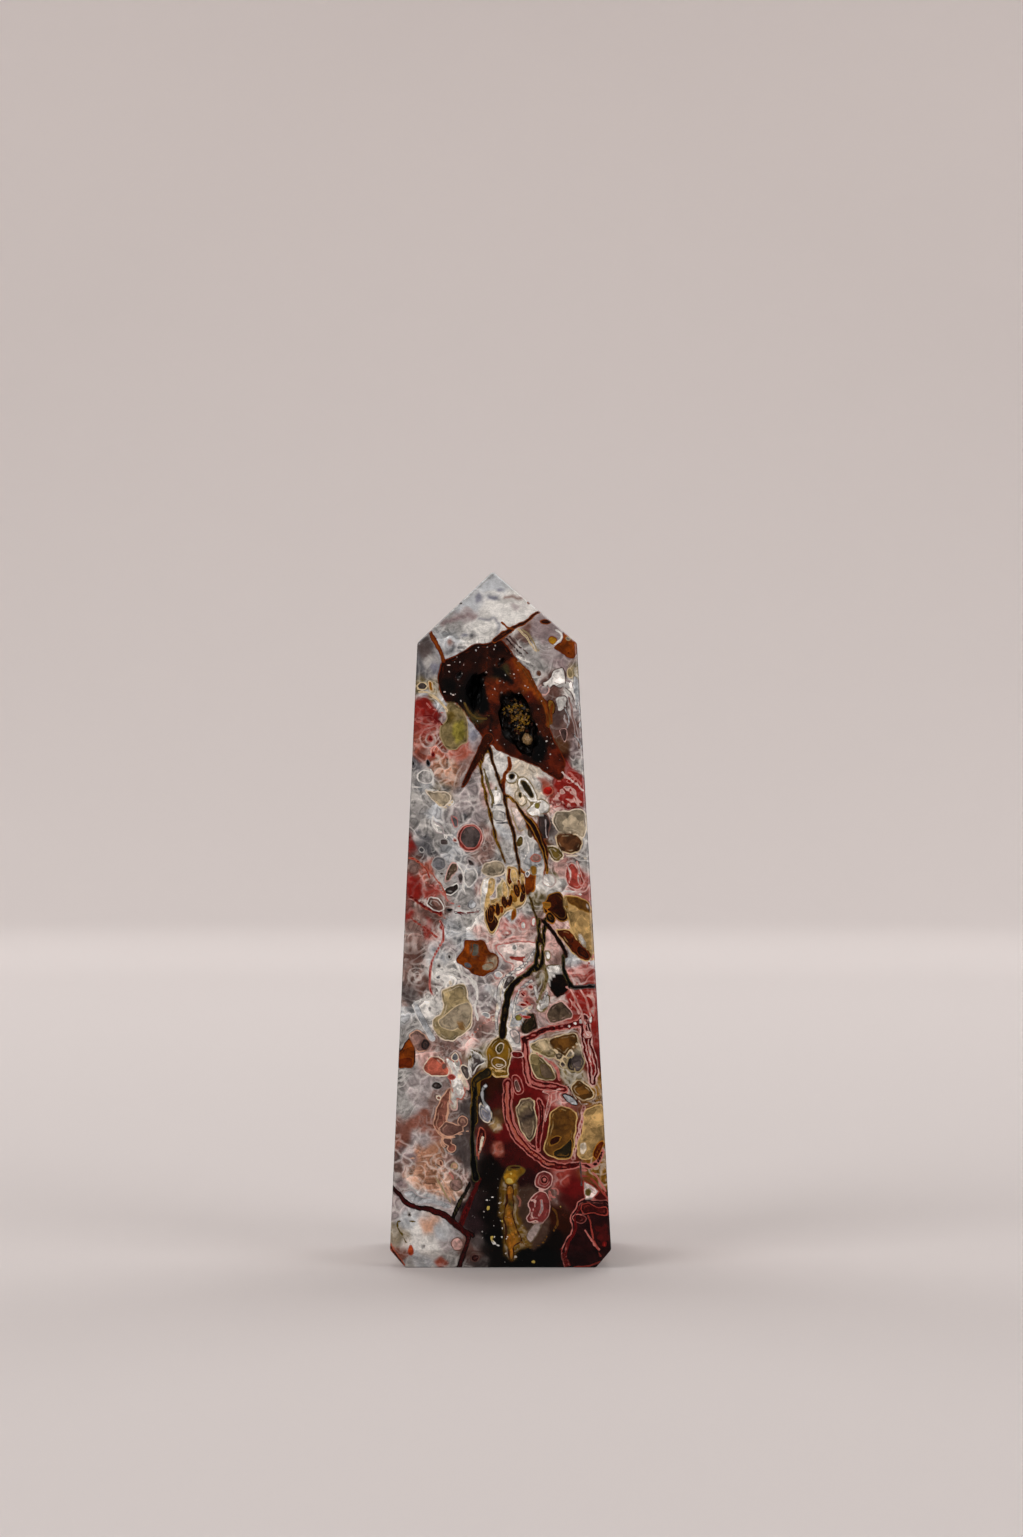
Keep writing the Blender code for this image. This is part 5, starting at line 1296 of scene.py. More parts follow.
class Modeller:
    """Blender's own modelling tools, each used on one selection at a time."""

    @staticmethod
    def begin() -> None:
        """Leaves edit mode and deselects everything."""
        if bpy.context.object and bpy.context.object.mode != "OBJECT":
            bpy.ops.object.mode_set(mode="OBJECT")
        bpy.ops.object.select_all(action="DESELECT")

    @staticmethod
    def choose(piece: bpy.types.Object) -> None:
        """Selects one piece alone and makes it the active one."""
        Modeller.begin()
        piece.select_set(True)
        bpy.context.view_layer.objects.active = piece

    @staticmethod
    def edit(piece: bpy.types.Object, mode: str = "VERT") -> None:
        """Opens a piece in edit mode with nothing selected.

        Args:
            piece: the object to edit.
            mode: VERT, EDGE or FACE selection.
        """
        Modeller.choose(piece)
        bpy.ops.object.mode_set(mode="EDIT")
        bpy.ops.mesh.select_mode(type=mode)
        bpy.ops.mesh.select_all(action="DESELECT")

    @staticmethod
    def pick(kind: str, test: Callable[[object], bool]) -> int:
        """Selects some of the edited piece's vertices, edges or faces.

        Args:
            kind: "verts", "edges" or "faces".
            test: says whether an element is wanted.

        Returns:
            How many were picked.
        """
        mesh = bpy.context.object.data
        shape = bmesh.from_edit_mesh(mesh)
        shape.normal_update()
        bpy.ops.mesh.select_all(action="DESELECT")
        wanted = [element for element in getattr(shape, kind) if test(element)]
        for element in wanted:
            element.select_set(True)
        shape.select_flush_mode()
        bmesh.update_edit_mesh(mesh, loop_triangles=False)
        return len(wanted)

    @staticmethod
    def finish(piece: bpy.types.Object) -> None:
        """Leaves edit mode and puts the piece's place into its mesh."""
        Modeller.choose(piece)
        bpy.ops.object.transform_apply(location=True, rotation=True, scale=True)

    @staticmethod
    def apply(piece: bpy.types.Object) -> None:
        """Applies every modifier of a piece in order."""
        Modeller.choose(piece)
        for modifier in list(piece.modifiers):
            bpy.ops.object.modifier_apply(modifier=modifier.name)


@dataclass(frozen=True)
class Canvas:
    """Where each of the tower's points lies in the drawing, in millimetres.

    across and up are for the ground: on the front they are the face's own, and from there the ground
    runs on round the other three faces and back. edge_across and edge_up turn back at the front's two
    corners, so that a mark which reaches a corner goes on round it, and past says how far a point lies
    behind them. round is the way round the other faces from the front's right corner, as wide as at mid
    height, or less than 0 on the front.
    """

    across: np.ndarray
    up: np.ndarray
    edge_across: np.ndarray
    edge_up: np.ndarray
    past: np.ndarray
    round: np.ndarray
    height: np.ndarray
    depth: np.ndarray

    @property
    def is_front(self) -> np.ndarray:
        """Returns which points lie on the front face."""
        return self.round < 0

    @classmethod
    def round_tower(cls, points: np.ndarray, outline: Outline) -> Canvas:
        """Finds the points' places.

        Args:
            points: the tower's points in metres, one row each.
            outline: the tower's sizes.

        Returns:
            The points' places on the drawing.
        """
        lean = outline.shoulder_lean / MM * np.clip(points[:, 2] / outline.shoulder_height, 0, 1)
        x = points[:, 0] / MM - lean
        y = points[:, 1] / MM
        z = points[:, 2] / MM
        body = outline.half_width(points[:, 2]) / MM
        reach = np.maximum(np.abs(x), np.abs(y))
        half = np.where(z > outline.shoulder_height / MM, reach, body)
        under = np.where(z < 0.02, np.maximum(outline.foot_width / MM / 2 - reach, 0), 0)
        front = -y >= np.abs(x) - 1e-4
        right = (x > np.abs(y)) & ~front
        left = (-x > np.abs(y)) & ~front
        walked = np.select([front, right, left], [ON_FRONT, y + half, 5 * half - y], 3 * half - x)
        share = np.clip(walked / (6 * half), 0, 1)
        drift = np.where(front, 0, np.sin(math.pi * share))
        across = np.where(front, x, body * (1 - 2 * share))
        across = across + drift * (2.2 * np.sin(z / 6.1 + 9 * share) + 1.3 * np.sin(z / 2.9 + 5 * share))
        climb = 17 * np.sin(2 * math.pi * share) + 9 * drift + 3.5 * drift * np.sin(z / 9 + 21 * share)
        calm = np.clip((97 - z) / 40, 0, 1)
        up = np.abs(z + np.where(front, 0, climb * calm) - under)
        past = np.where(front, 0, np.minimum(walked, 6 * half - walked))
        edge_across = np.select([front, right], [x, half - 0.7 * past], 0.7 * past - half)
        edge_across = np.where(past > CORNER_REACH, AWAY, edge_across)
        edge_up = np.abs(z - under) + np.where(right, 0.9, -0.8) * past * calm
        depth = np.where(front, np.maximum(y + body, 0), 0)
        depth = np.where(z < outline.shoulder_height / MM - 1, depth, 0)
        depth = np.where(z > outline.chamfer_height / MM + 1, depth, 0)
        walked = np.where(front, ON_FRONT, walked * MID_HALF_WIDTH / np.maximum(half, 1))
        height = np.abs(z - under)
        return cls(across + lean, up, edge_across + lean, edge_up, past, walked, height, depth)

    def rippled(self, size: float, length: float, seed: int) -> tuple[np.ndarray, np.ndarray]:
        """Moves the places a little, as folded rock is, so that no drawn line stays quite smooth.

        Args:
            size: how far a place moves at most, in mm.
            length: how far apart the folds are, in mm.
            seed: picks the folds.

        Returns:
            The places' across and up.
        """
        moved_across = self.rippled_move(self.across, self.up, size, length, seed)
        moved_up = self.rippled_move(self.across, self.up, size, length, seed + 1)
        return self.across + moved_across, self.up + moved_up

    @staticmethod
    def rippled_move(across: np.ndarray, up: np.ndarray, size: float, length: float, seed: int) -> np.ndarray:
        """Returns one direction's move of a ripple.

        Args:
            across: the places across.
            up: the places up.
            size: how far a place moves at most, in mm.
            length: how far apart the folds are, in mm.
            seed: picks the folds.
        """
        chance = np.random.RandomState(seed)
        move = np.zeros_like(across)
        for _ in range(5):
            turn = chance.uniform(0, math.tau)
            pitch = math.tau / (length * chance.uniform(0.6, 1.7))
            phase = chance.uniform(0, math.tau)
            move += np.sin((across * math.cos(turn) + up * math.sin(turn)) * pitch + phase)
        return size * move / 3


@dataclass(frozen=True)
class CalmPlace:
    """A part of the drawing with little lace in it, in mm: its middle, its reach and how calm it is."""

    middle: tuple[float, float]
    reach: tuple[float, float]
    calm: float

    def share(self, across: np.ndarray, up: np.ndarray) -> np.ndarray:
        """Returns how much of the lace is taken away at each place.

        Args:
            across: the places across.
            up: the places up.
        """
        far = ((across - self.middle[0]) / self.reach[0]) ** 2 + ((up - self.middle[1]) / self.reach[1]) ** 2
        return self.calm * np.exp(-(far ** 2))


CALM_PLACES = (
    CalmPlace((-1.0, 96.0), (12.0, 5.6), 0.92),
    CalmPlace((7.5, 89.0), (4.5, 4.0), 0.6),
    CalmPlace((-10.0, 87.0), (2.5, 4.0), 0.7),
    CalmPlace((-4.5, 74.5), (3.0, 3.0), 0.6),
    CalmPlace((-10.5, 23.0), (4.5, 6.0), 0.4),
    CalmPlace((-10.0, 5.0), (7.0, 5.0), 0.65),
    CalmPlace((1.0, 66.0), (3.0, 7.0), 0.5),
)


@dataclass
class Coat:
    """One layer of marks as it lies on the stone: the nearest mark at each point, and its colours."""

    distance: np.ndarray
    fill: np.ndarray
    rim: np.ndarray

    @classmethod
    def bare(cls, count: int) -> Coat:
        """Returns a coat with no marks on it.

        Args:
            count: how many points it covers.
        """
        return cls(np.full(count, FAR), np.full((count, 3), 0.3), np.full((count, 3), 0.3))

    def lay(self, rows: np.ndarray, distance: np.ndarray, fill: Tone, rim: Tone) -> None:
        """Lays a mark over the ones before it; outside both, the nearer one counts.

        Args:
            rows: the points that the mark may reach.
            distance: their distances to its edge.
            fill: its inner colour.
            rim: the colour of its edge.
        """
        old = self.distance[rows]
        taken = (distance < 0) | ((old >= 0) & (distance < old))
        picked = rows[taken]
        self.distance[picked] = distance[taken]
        self.fill[picked] = fill.light()
        self.rim[picked] = rim.light()


@dataclass(frozen=True)
class FarSide:
    """A face that the photograph doesn't show: the front's marks lie on it anew, moved and turned.

    middle is where it lies round the tower, climb how far the marks move up it, both in mm, and left_out
    the share of the marks that it goes without.
    """

    name: str
    middle: float
    climb: float
    mirrored: bool
    upturned: bool
    left_out: float

    def places(self, canvas: Canvas, mark: Mark) -> tuple[np.ndarray, np.ndarray]:
        """Returns the points' places as this side's copy of a mark sees them.

        Args:
            canvas: the points' places.
            mark: the mark.
        """
        left, low, right, high = mark.box()
        middle = 0.5 * (low + high)
        moved = 3 + (self.climb + (-middle if self.upturned else middle)) % FAR_SIDE_RUN
        up = canvas.height - moved
        up = middle - up if self.upturned else middle + up
        across = canvas.round - self.middle
        across = -across if self.mirrored else across
        return np.where(canvas.round < 1.0, AWAY, across), up


FAR_SIDES = (
    FarSide("right", 14.5, 23, True, False, 0.30),
    FarSide("back", 41.0, 11, False, True, 0.25),
    FarSide("left", 67.0, 57, True, False, 0.30),
)


@dataclass
class Painter:
    """Lays the drawing on the tower's points and keeps it as the mesh's own attributes."""

    canvas: Canvas
    coats: dict[Layer, Coat] = field(default_factory=dict)

    def washed(self, washes: tuple[Wash, ...], seed: int) -> np.ndarray:
        """Blends soft clouds of colour.

        Args:
            washes: the clouds.
            seed: picks the folds of their edges.

        Returns:
            The colour at each point.
        """
        across, up = self.canvas.rippled(0.55, 3.4, seed)
        total = np.full((len(across), 1), 1e-9)
        mixed = np.zeros((len(across), 3))
        for wash in washes:
            light = wash.tone.light()
            for place_across, place_up, reach in traced(wash.places):
                far = (across - place_across) ** 2 + (up - place_up) ** 2
                weight = (1.0 / (far / reach ** 2 + 0.12) ** 2.6)[:, None]
                total += weight
                mixed += weight * light
        return mixed / total

    @staticmethod
    def near(mark: Mark, across: np.ndarray, up: np.ndarray) -> np.ndarray:
        """Returns which points a mark may reach.

        Args:
            mark: the mark.
            across: the points' places across.
            up: the points' places up.
        """
        left, low, right, high = mark.box()
        inside = (across > left - REACH) & (across < right + REACH)
        inside &= (up > low - REACH) & (up < high + REACH)
        return np.nonzero(inside)[0]

    def front_places(self, size: float, length: float, seed: int) -> tuple[np.ndarray, np.ndarray]:
        """Returns the places on the front face, which go on a little round its corners, rippled.

        Args:
            size: how far a place moves at most, in mm.
            length: how far apart the folds are, in mm.
            seed: picks the folds.
        """
        across, up = self.canvas.edge_across, self.canvas.edge_up
        moved_across = self.canvas.rippled_move(across, up, size, length, seed)
        moved_up = self.canvas.rippled_move(across, up, size, length, seed + 1)
        return across + moved_across, up + moved_up

    def lay_mark(
        self, layer: Layer, mark: Mark, across: np.ndarray, up: np.ndarray, shrunk: np.ndarray | None = None
    ) -> None:
        """Lays one crisp mark.

        Args:
            layer: the layer that it belongs to.
            mark: the mark.
            across: the points' places across.
            up: the points' places up.
            shrunk: how far in the mark's edge is drawn at each point, if at all.
        """
        rows = self.near(mark, across, up)
        if not len(rows):
            return
        distance = mark.distance(across[rows], up[rows])
        if shrunk is not None:
            distance = distance + shrunk[rows]
        self.coats[layer].lay(rows, distance, mark.fill, mark.rim)

    def lay_marks(self) -> None:
        """Lays the crisp marks in their order: copies on the far sides first, then the front face's own."""
        self.coats = {layer: Coat.bare(len(self.canvas.across)) for layer in CRISP_LAYERS}
        crisp = [
            (layer, group, mark)
            for layer in CRISP_LAYERS
            for group in FACE_MARKS[layer]
            for mark in group.parts()
        ]
        canvas = self.canvas
        ripple = canvas.rippled_move(canvas.round, canvas.height, 0.12, 1.9, 8)
        for side in FAR_SIDES:
            for layer, group, mark in crisp:
                if group.name in FRONT_ONLY or random.Random(mark.name + side.name).random() < side.left_out:
                    continue
                across, up = side.places(canvas, mark)
                self.lay_mark(layer, mark, across + ripple, up - ripple)
        across, up = self.front_places(0.09, 1.9, 3)
        shrunk = 0.8 * np.clip(canvas.past - 0.8, 0, None)
        for layer, _, mark in crisp:
            self.lay_mark(layer, mark, across, up, shrunk)

    def blend_soft(self, colors: np.ndarray, layer: Layer, soft: float) -> None:
        """Blends the front face's soft-edged marks into a layer of colours.

        Args:
            colors: the colours, changed in place.
            layer: which soft layer is blended.
            soft: how wide the edge is, in mm.
        """
        across, up = self.front_places(0.16, 1.6, 5)
        for mark in (mark for group in FACE_MARKS[layer] for mark in group.parts()):
            rows = self.near(mark, across, up)
            share = np.clip(0.5 - mark.distance(across[rows], up[rows]) / soft, 0, 1)
            share = (share * share * (3 - 2 * share))[:, None]
            colors[rows] += share * (mark.fill.light() - colors[rows])

    @staticmethod
    def keep(mesh: bpy.types.Mesh, name: str, values: np.ndarray) -> None:
        """Writes numbers or colours to a mesh as a named attribute of its points.

        Args:
            mesh: the mesh.
            name: the attribute's name.
            values: one number or one colour for each point.
        """
        if values.ndim == 1:
            made = mesh.attributes.new(name, "FLOAT", "POINT")
            made.data.foreach_set("value", values.astype(np.float32))
            return
        made = mesh.attributes.new(name, "FLOAT_COLOR", "POINT")
        with_alpha = np.hstack([values, np.ones((len(values), 1))])
        made.data.foreach_set("color", with_alpha.astype(np.float32).ravel())


class Wire:
    """A shader socket that takes part in Python's arithmetic: each operator adds its Math node."""

    def __init__(self, graph: Graph, socket: bpy.types.NodeSocket) -> None:
        """Keeps the socket and the graph that it belongs to."""
        self.graph = graph
        self.socket = socket

    def math(self, operation: str, *values: Wire | float) -> Wire:
        """Adds a Math node.

        Args:
            operation: the node's operation.
            values: its inputs in order.

        Returns:
            The node's result.
        """
        node = self.graph.add("ShaderNodeMath", {"operation": operation}, dict(enumerate(values)))
        return Wire(self.graph, node.outputs[0])

    def __add__(self, other: Wire | float) -> Wire:
        """Returns the sum."""
        return self.math("ADD", self, other)

    def __radd__(self, other: float) -> Wire:
        """Returns the sum."""
        return self.math("ADD", other, self)

    def __sub__(self, other: Wire | float) -> Wire:
        """Returns the difference."""
        return self.math("SUBTRACT", self, other)

    def __rsub__(self, other: float) -> Wire:
        """Returns the difference, the other way round."""
        return self.math("SUBTRACT", other, self)

    def __mul__(self, other: Wire | float) -> Wire:
        """Returns the product."""
        return self.math("MULTIPLY", self, other)

    def __truediv__(self, other: Wire | float) -> Wire:
        """Returns the quotient."""
        return self.math("DIVIDE", self, other)

    def __abs__(self) -> Wire:
        """Returns the size without its sign."""
        return self.math("ABSOLUTE", self)

    def lowest(self, other: Wire | float) -> Wire:
        """Returns the lower of the two."""
        return self.math("MINIMUM", self, other)

    def repeated(self) -> Wire:
        """Returns the part after the whole number."""
        return self.math("FRACT", self)

    def rise(self, low: float, high: float) -> Wire:
        """Returns 0 below low, 1 above high and a smooth step between.

        Args:
            low: where the step starts; above high for a step down.
            high: where it ends.
        """
        up = low < high
        node = self.graph.add(
            "ShaderNodeMapRange",
            {"interpolation_type": "SMOOTHSTEP"},
            {
                "Value": self,
                "From Min": min(low, high),
                "From Max": max(low, high),
                "To Min": 0.0 if up else 1.0,
                "To Max": 1.0 if up else 0.0,
            },
        )
        return Wire(self.graph, node.outputs["Result"])

    def line(self, middle: float, width: float) -> Wire:
        """Returns 1 where the value is at the middle, falling to 0 at half the width to each side."""
        return abs(self - middle).rise(width / 2, width / 5)


Value = Wire | float | tuple[float, ...]


@dataclass
class Graph:
    """A material's nodes, added by name."""

    material: bpy.types.Material

    def add(self, kind: str, settings: dict[str, object], inputs: dict[str | int, Value]) -> bpy.types.Node:
        """Adds one node.

        Args:
            kind: the node's type.
            settings: its own settings, which are set first.
            inputs: values or links for its sockets, by name or number.

        Returns:
            The node.
        """
        tree = self.material.node_tree
        node = tree.nodes.new(kind)
        for name, value in settings.items():
            setattr(node, name, value)
        for name, value in inputs.items():
            socket = node.inputs[name]
            if isinstance(value, Wire):
                tree.links.new(value.socket, socket)
            else:
                socket.default_value = value
        return node

    def wire(self, node: bpy.types.Node, name: str | int) -> Wire:
        """Returns one of a node's outputs."""
        return Wire(self, node.outputs[name])

    def kept(self, name: str, output: str = "Fac") -> Wire:
        """Returns an attribute that the mesh carries.

        Args:
            name: the attribute's name.
            output: "Fac" for a number or "Color" for a colour.
        """
        return self.wire(self.add("ShaderNodeAttribute", {"attribute_name": name}, {}), output)

    def place(self, scale: float) -> Wire:
        """Returns the object's own coordinates times a scale."""
        found = self.add("ShaderNodeTexCoord", {}, {})
        scaled = self.add(
            "ShaderNodeVectorMath", {"operation": "SCALE"}, {0: self.wire(found, "Object"), "Scale": scale}
        )
        return self.wire(scaled, "Vector")

    def moved(self, place: Wire, size: float, scale: float) -> Wire:
        """Pushes coordinates about with noise.

        Args:
            place: the coordinates.
            size: how far they move at most.
            scale: how often the noise changes in one unit.

        Returns:
            The moved coordinates.
        """
        settings = {"Vector": place, "Scale": scale, "Detail": 1.0}
        wander = self.wire(self.add("ShaderNodeTexNoise", {}, settings), "Color")
        centred = self.add("ShaderNodeVectorMath", {"operation": "SUBTRACT"}, {0: wander, 1: (0.5, 0.5, 0.5)})
        added = self.add(
            "ShaderNodeVectorMath",
            {"operation": "MULTIPLY_ADD"},
            {0: self.wire(centred, "Vector"), 1: (2 * size, 2 * size, 2 * size), 2: place},
        )
        return self.wire(added, "Vector")

    def noise(self, place: Wire, scale: float, detail: float = 2.0, rough: float = 0.55) -> Wire:
        """Returns a noise from 0 to 1.

        Args:
            place: the coordinates.
            scale: how often it changes in one unit.
            detail: how many finer noises are added.
            rough: how strong those are.
        """
        settings = {"Vector": place, "Scale": scale, "Detail": detail, "Roughness": rough}
        return self.wire(self.add("ShaderNodeTexNoise", {}, settings), "Fac")

    def cells(self, place: Wire, scale: float, feature: str, output: str) -> Wire:
        """Returns a Voronoi cell texture's output.

        Args:
            place: the coordinates.
            scale: how many cells there are in one unit.
            feature: the node's feature, such as DISTANCE_TO_EDGE.
            output: which output is used.
        """
        node = self.add("ShaderNodeTexVoronoi", {"feature": feature}, {"Vector": place, "Scale": scale})
        return self.wire(node, output)

    def mix(self, base: Value, other: Value, share: Value) -> Wire:
        """Mixes two colours.

        Args:
            base: the first colour.
            other: the second.
            share: how much of the second is used.

        Returns:
            The mixed colour.
        """
        node = self.add("ShaderNodeMix", {"data_type": "RGBA"}, {0: share, 6: base, 7: other})
        return self.wire(node, 2)

    def shade(self, color: Wire, lightness: Wire) -> Wire:
        """Returns a colour made lighter or darker by a factor, which may be above 1."""
        node = self.add("ShaderNodeVectorMath", {"operation": "SCALE"}, {0: color, "Scale": lightness})
        return self.wire(node, "Vector")


def bare_material(name: str) -> tuple[bpy.types.Material, bpy.types.Node]:
    """Makes a material with only its Principled shader.

    Args:
        name: the material's name.

    Returns:
        The material and its shader node.
    """
    material = bpy.data.materials.new(name)
    material.use_nodes = True
    return material, material.node_tree.nodes["Principled BSDF"]


def rgba(tone: Tone) -> tuple[float, float, float, float]:
    """Returns a tone as a shader colour."""
    return (*tone.light(), 1.0)


# How much each layer's edge wobbles in mm, and how wide its rim is against the finish's own.
LAYER_WOBBLE = {Layer.BED: 0.34, Layer.CELL: 0.22, Layer.CORE: 0.12, Layer.LINE: 0.10, Layer.VEIN: 0.24}
LAYER_RIM = {Layer.BED: 1.1, Layer.CELL: 1.1, Layer.CORE: 0.9, Layer.LINE: 0.5, Layer.VEIN: 0.9}


@dataclass(frozen=True)
class PolishedAgate:
    """The tower's finish: the drawing that its mesh carries, with the stone's own fine lace in it."""

    roughness: float = 0.09
    rim_width: float = 0.22
    lace_cell: float = 1.7
    fine_cell: float = 0.62
    contour_step: float = 0.72
    facet_size: float = 1.5

    def ground(self, graph: Graph, place: Wire) -> Wire:
        """Colours the stone between the marks: clouds, pebbly cells with painted shading, lace lines and a
        fine grain.

        Args:
            graph: the material's nodes.
            place: the object's coordinates in mm.

        Returns:
            The colour.
        """
        color = graph.kept("ground", "Color")
        bright = graph.wire(graph.add("ShaderNodeRGBToBW", {}, {"Color": color}), 0)
        laced = bright.rise(0.04, 0.22) * graph.kept("lace")
        bent = graph.moved(graph.moved(place, 0.75, 0.45), 0.22, 1.6)
        pebble = graph.wire(graph.add("ShaderNodeSeparateColor", {}, {
            "Color": graph.cells(bent, 1 / self.lace_cell, "F1", "Color"),
        }), 0)
        cloud = graph.noise(graph.moved(place, 0.5, 0.7), 0.50, 3.0, 0.66).rise(0.28, 0.72)
        # Painted shade and highlight: each pebble is made lighter on its upper left side and darker on its
        # lower right, as if lit from the upper left.
        seat = graph.cells(bent, 1 / self.lace_cell, "F1", "Position")
        lean = graph.add("ShaderNodeVectorMath", {"operation": "SUBTRACT"}, {0: bent, 1: seat})
        painted_light_way = {0: graph.wire(lean, "Vector"), 1: (-0.55, 0.2, 0.8)}
        painted_pebble_shade = graph.wire(graph.add("ShaderNodeVectorMath", {"operation": "DOT_PRODUCT"}, painted_light_way), "Value")
        calm = 1 - graph.kept("lace")
        color = graph.shade(color, 0.66 + cloud * 0.44 + calm * 0.15 + (pebble - 0.5) * laced * 0.34)
        patchy = graph.noise(place, 0.30, 2.0).rise(0.44, 0.60) * laced
        color = graph.shade(color, 1 + painted_pebble_shade / self.lace_cell * (laced * 0.25 + patchy * 0.35))
        hollow = graph.noise(graph.moved(place, 0.6, 0.8), 0.50, 2.0, 0.6).rise(0.53, 0.68) * laced
        color = graph.mix(color, graph.shade(color, 0.34 + pebble * 0.25), hollow * 0.78)
        edge = graph.cells(bent, 1 / self.lace_cell, "DISTANCE_TO_EDGE", "Distance") * self.lace_cell
        pale = graph.mix(graph.shade(color, 1.2 + pebble * 0.3), rgba(Tone.SNOW), 0.50)
        color = graph.mix(color, pale, edge.rise(0.24, 0.04) * patchy * 0.9)
        dark = graph.shade(color, 0.32 + graph.noise(place, 0.9) * 0.35)
        color = graph.mix(color, dark, edge.line(0.38, 0.26) * laced * 0.6)
        fine_place = graph.moved(place, 0.30, 1.3)
        fine = graph.cells(fine_place, 1 / self.fine_cell, "DISTANCE_TO_EDGE", "Distance") * self.fine_cell
        sparse = graph.noise(place, 0.5, 2.0).rise(0.54, 0.66) * laced
        color = graph.mix(color, pale, fine.rise(0.11, 0.02) * sparse * 0.4)
        flow = graph.noise(graph.moved(place, 1.5, 0.22), 0.17, 2.0, 0.5)
        wave = (flow * 11.0).repeated()
        folded = graph.noise(place, 0.26, 1.0).rise(0.46, 0.62) * laced
        color = graph.mix(color, pale, wave.line(0.5, 0.40) * folded * 0.8)
        color = graph.mix(color, dark, wave.line(0.16, 0.30) * folded * 0.5)
        grain = graph.noise(place, 4.2, 2.0, 0.7)
        return graph.shade(color, 0.72 + grain * 0.56)

    def coat(self, graph: Graph, place: Wire, base: Wire, layer: Layer) -> Wire:
        """Draws one layer of marks.

        Args:
            graph: the material's nodes.
            place: the object's coordinates in mm.
            base: the colour under the layer.
            layer: the layer.

        Returns:
            The colour.
        """
        name = layer.value
        distance = graph.kept(f"{name}_distance")
        wobble = graph.noise(place, 1.5, 2.0, 0.6) - 0.5
        distance = distance + wobble * LAYER_WOBBLE[layer]
        fill = graph.kept(f"{name}_fill", "Color")
        rim = graph.kept(f"{name}_rim", "Color")
        streak = graph.noise(graph.moved(place, 0.6, 0.8), 0.90, 3.0, 0.68).rise(0.30, 0.70)
        fill = graph.shade(fill, 0.66 + streak * 0.66)
        if layer in (Layer.BED, Layer.CELL):
            bent = graph.moved(place, 0.4, 0.9)
            facet = graph.wire(graph.add("ShaderNodeSeparateColor", {}, {
                "Color": graph.cells(bent, 1 / self.facet_size, "F1", "Color"),
            }), 0)
            fill = graph.shade(fill, 0.66 + facet * 0.68)
        murk = graph.noise(graph.moved(place, 0.6, 0.8), 0.75, 1.0).rise(0.50, 0.66)
        fill = graph.mix(fill, graph.shade(fill, 0.50 + streak * 0.2), murk * 0.6)
        fill = graph.mix(fill, graph.shade(fill, 0.55 + streak * 0.2), distance.rise(-0.75, -0.08) * 0.4)
        inner = distance.line(-0.40, 0.22) * graph.noise(place, 0.7).rise(0.48, 0.62)
        fill = graph.mix(fill, rim, inner * 0.4)
        if layer is Layer.BED:
            fill = graph.mix(fill, rim, distance.line(-0.44, 0.20) * 0.85)
            fill = graph.mix(fill, graph.shade(fill, 0.45 + streak * 0.1), distance.line(-0.20, 0.22) * 0.8)
        color = graph.mix(base, fill, distance.rise(0.05, -0.05))
        edge = distance.line(0.0, self.rim_width * LAYER_RIM[layer])
        thin = graph.noise(place, 0.8, 1.0).rise(0.30, 0.55)
        return graph.mix(color, rim, edge * (0.40 + thin * 0.60))

    def build(self) -> bpy.types.Material:
        """Makes the material.

        Returns:
            The material.
        """
        material, shader = bare_material("polished_agate_pattern")
        graph = Graph(material)
        place = graph.place(1 / MM)
        color = self.ground(graph, place)
        cloud = graph.noise(place, 0.6)
        cell = graph.kept("cell_distance")
        core = graph.kept("core_distance")
        vein = graph.kept("vein_distance")
        near = cell.lowest(core).lowest(vein)
        base = graph.kept("ground", "Color")
        laced = graph.wire(graph.add("ShaderNodeRGBToBW", {}, {"Color": base}), 0).rise(0.05, 0.22)
        bent = near + (graph.noise(place, 0.9, 2.0) - 0.5) * 0.7
        ring = (bent / self.contour_step).repeated()
        fade = bent.rise(0.05, 0.3) * bent.rise(1.9, 0.7)
        fade = fade * graph.noise(place, 0.4, 1.0).rise(0.45, 0.60) * laced * graph.kept("lace")
        color = graph.mix(color, graph.mix(color, rgba(Tone.SNOW), 0.75), ring.line(0.5, 0.44) * fade * 0.5)
        color = graph.mix(color, graph.shade(color, 0.50 + cloud * 0.2), ring.line(0.08, 0.34) * fade * 0.45)
        for layer in CRISP_LAYERS:
            color = self.coat(graph, place, color, layer)
        # Painted glints: small white specks, strongest in the low black band and in the vug.
        sparkle = graph.kept("sparkle")
        speck = graph.cells(graph.moved(place, 0.2, 2.0), 1 / 0.75, "F1", "Distance")
        chosen = graph.noise(place, 1.7, 1.0).rise(0.48, 0.56)
        color = graph.mix(color, rgba(Tone.SNOW), speck.rise(0.19, 0.09) * chosen * sparkle)
        depth = graph.kept("depth")
        # Painted shade: the deeper a point lies in a pocket, the darker its colour, down to a tenth of it at
        # about 1 mm deep.
        color = graph.shade(color, 1 - depth.rise(0.05, 1.1) * 0.9)
        color = graph.wire(graph.add("ShaderNodeGamma", {}, {"Color": color, "Gamma": 1.22}), 0)
        color = graph.shade(color, graph.noise(place, 0.2, 1.0) * 0.2 + 1.10)
        material.node_tree.links.new(color.socket, shader.inputs["Base Color"])
        rough = self.roughness + depth.rise(0.02, 0.3) * 0.3 + graph.kept("crust") * 0.10
        material.node_tree.links.new(rough.socket, shader.inputs["Roughness"])
        relief = graph.noise(place, 2.2, 2.0, 0.65) * graph.kept("crust") * 0.6
        bump = graph.add("ShaderNodeBump", {}, {"Strength": 0.6, "Distance": 0.0002, "Height": relief})
        material.node_tree.links.new(bump.outputs["Normal"], shader.inputs["Normal"])
        shader.inputs["IOR"].default_value = STONE_IOR
        return material


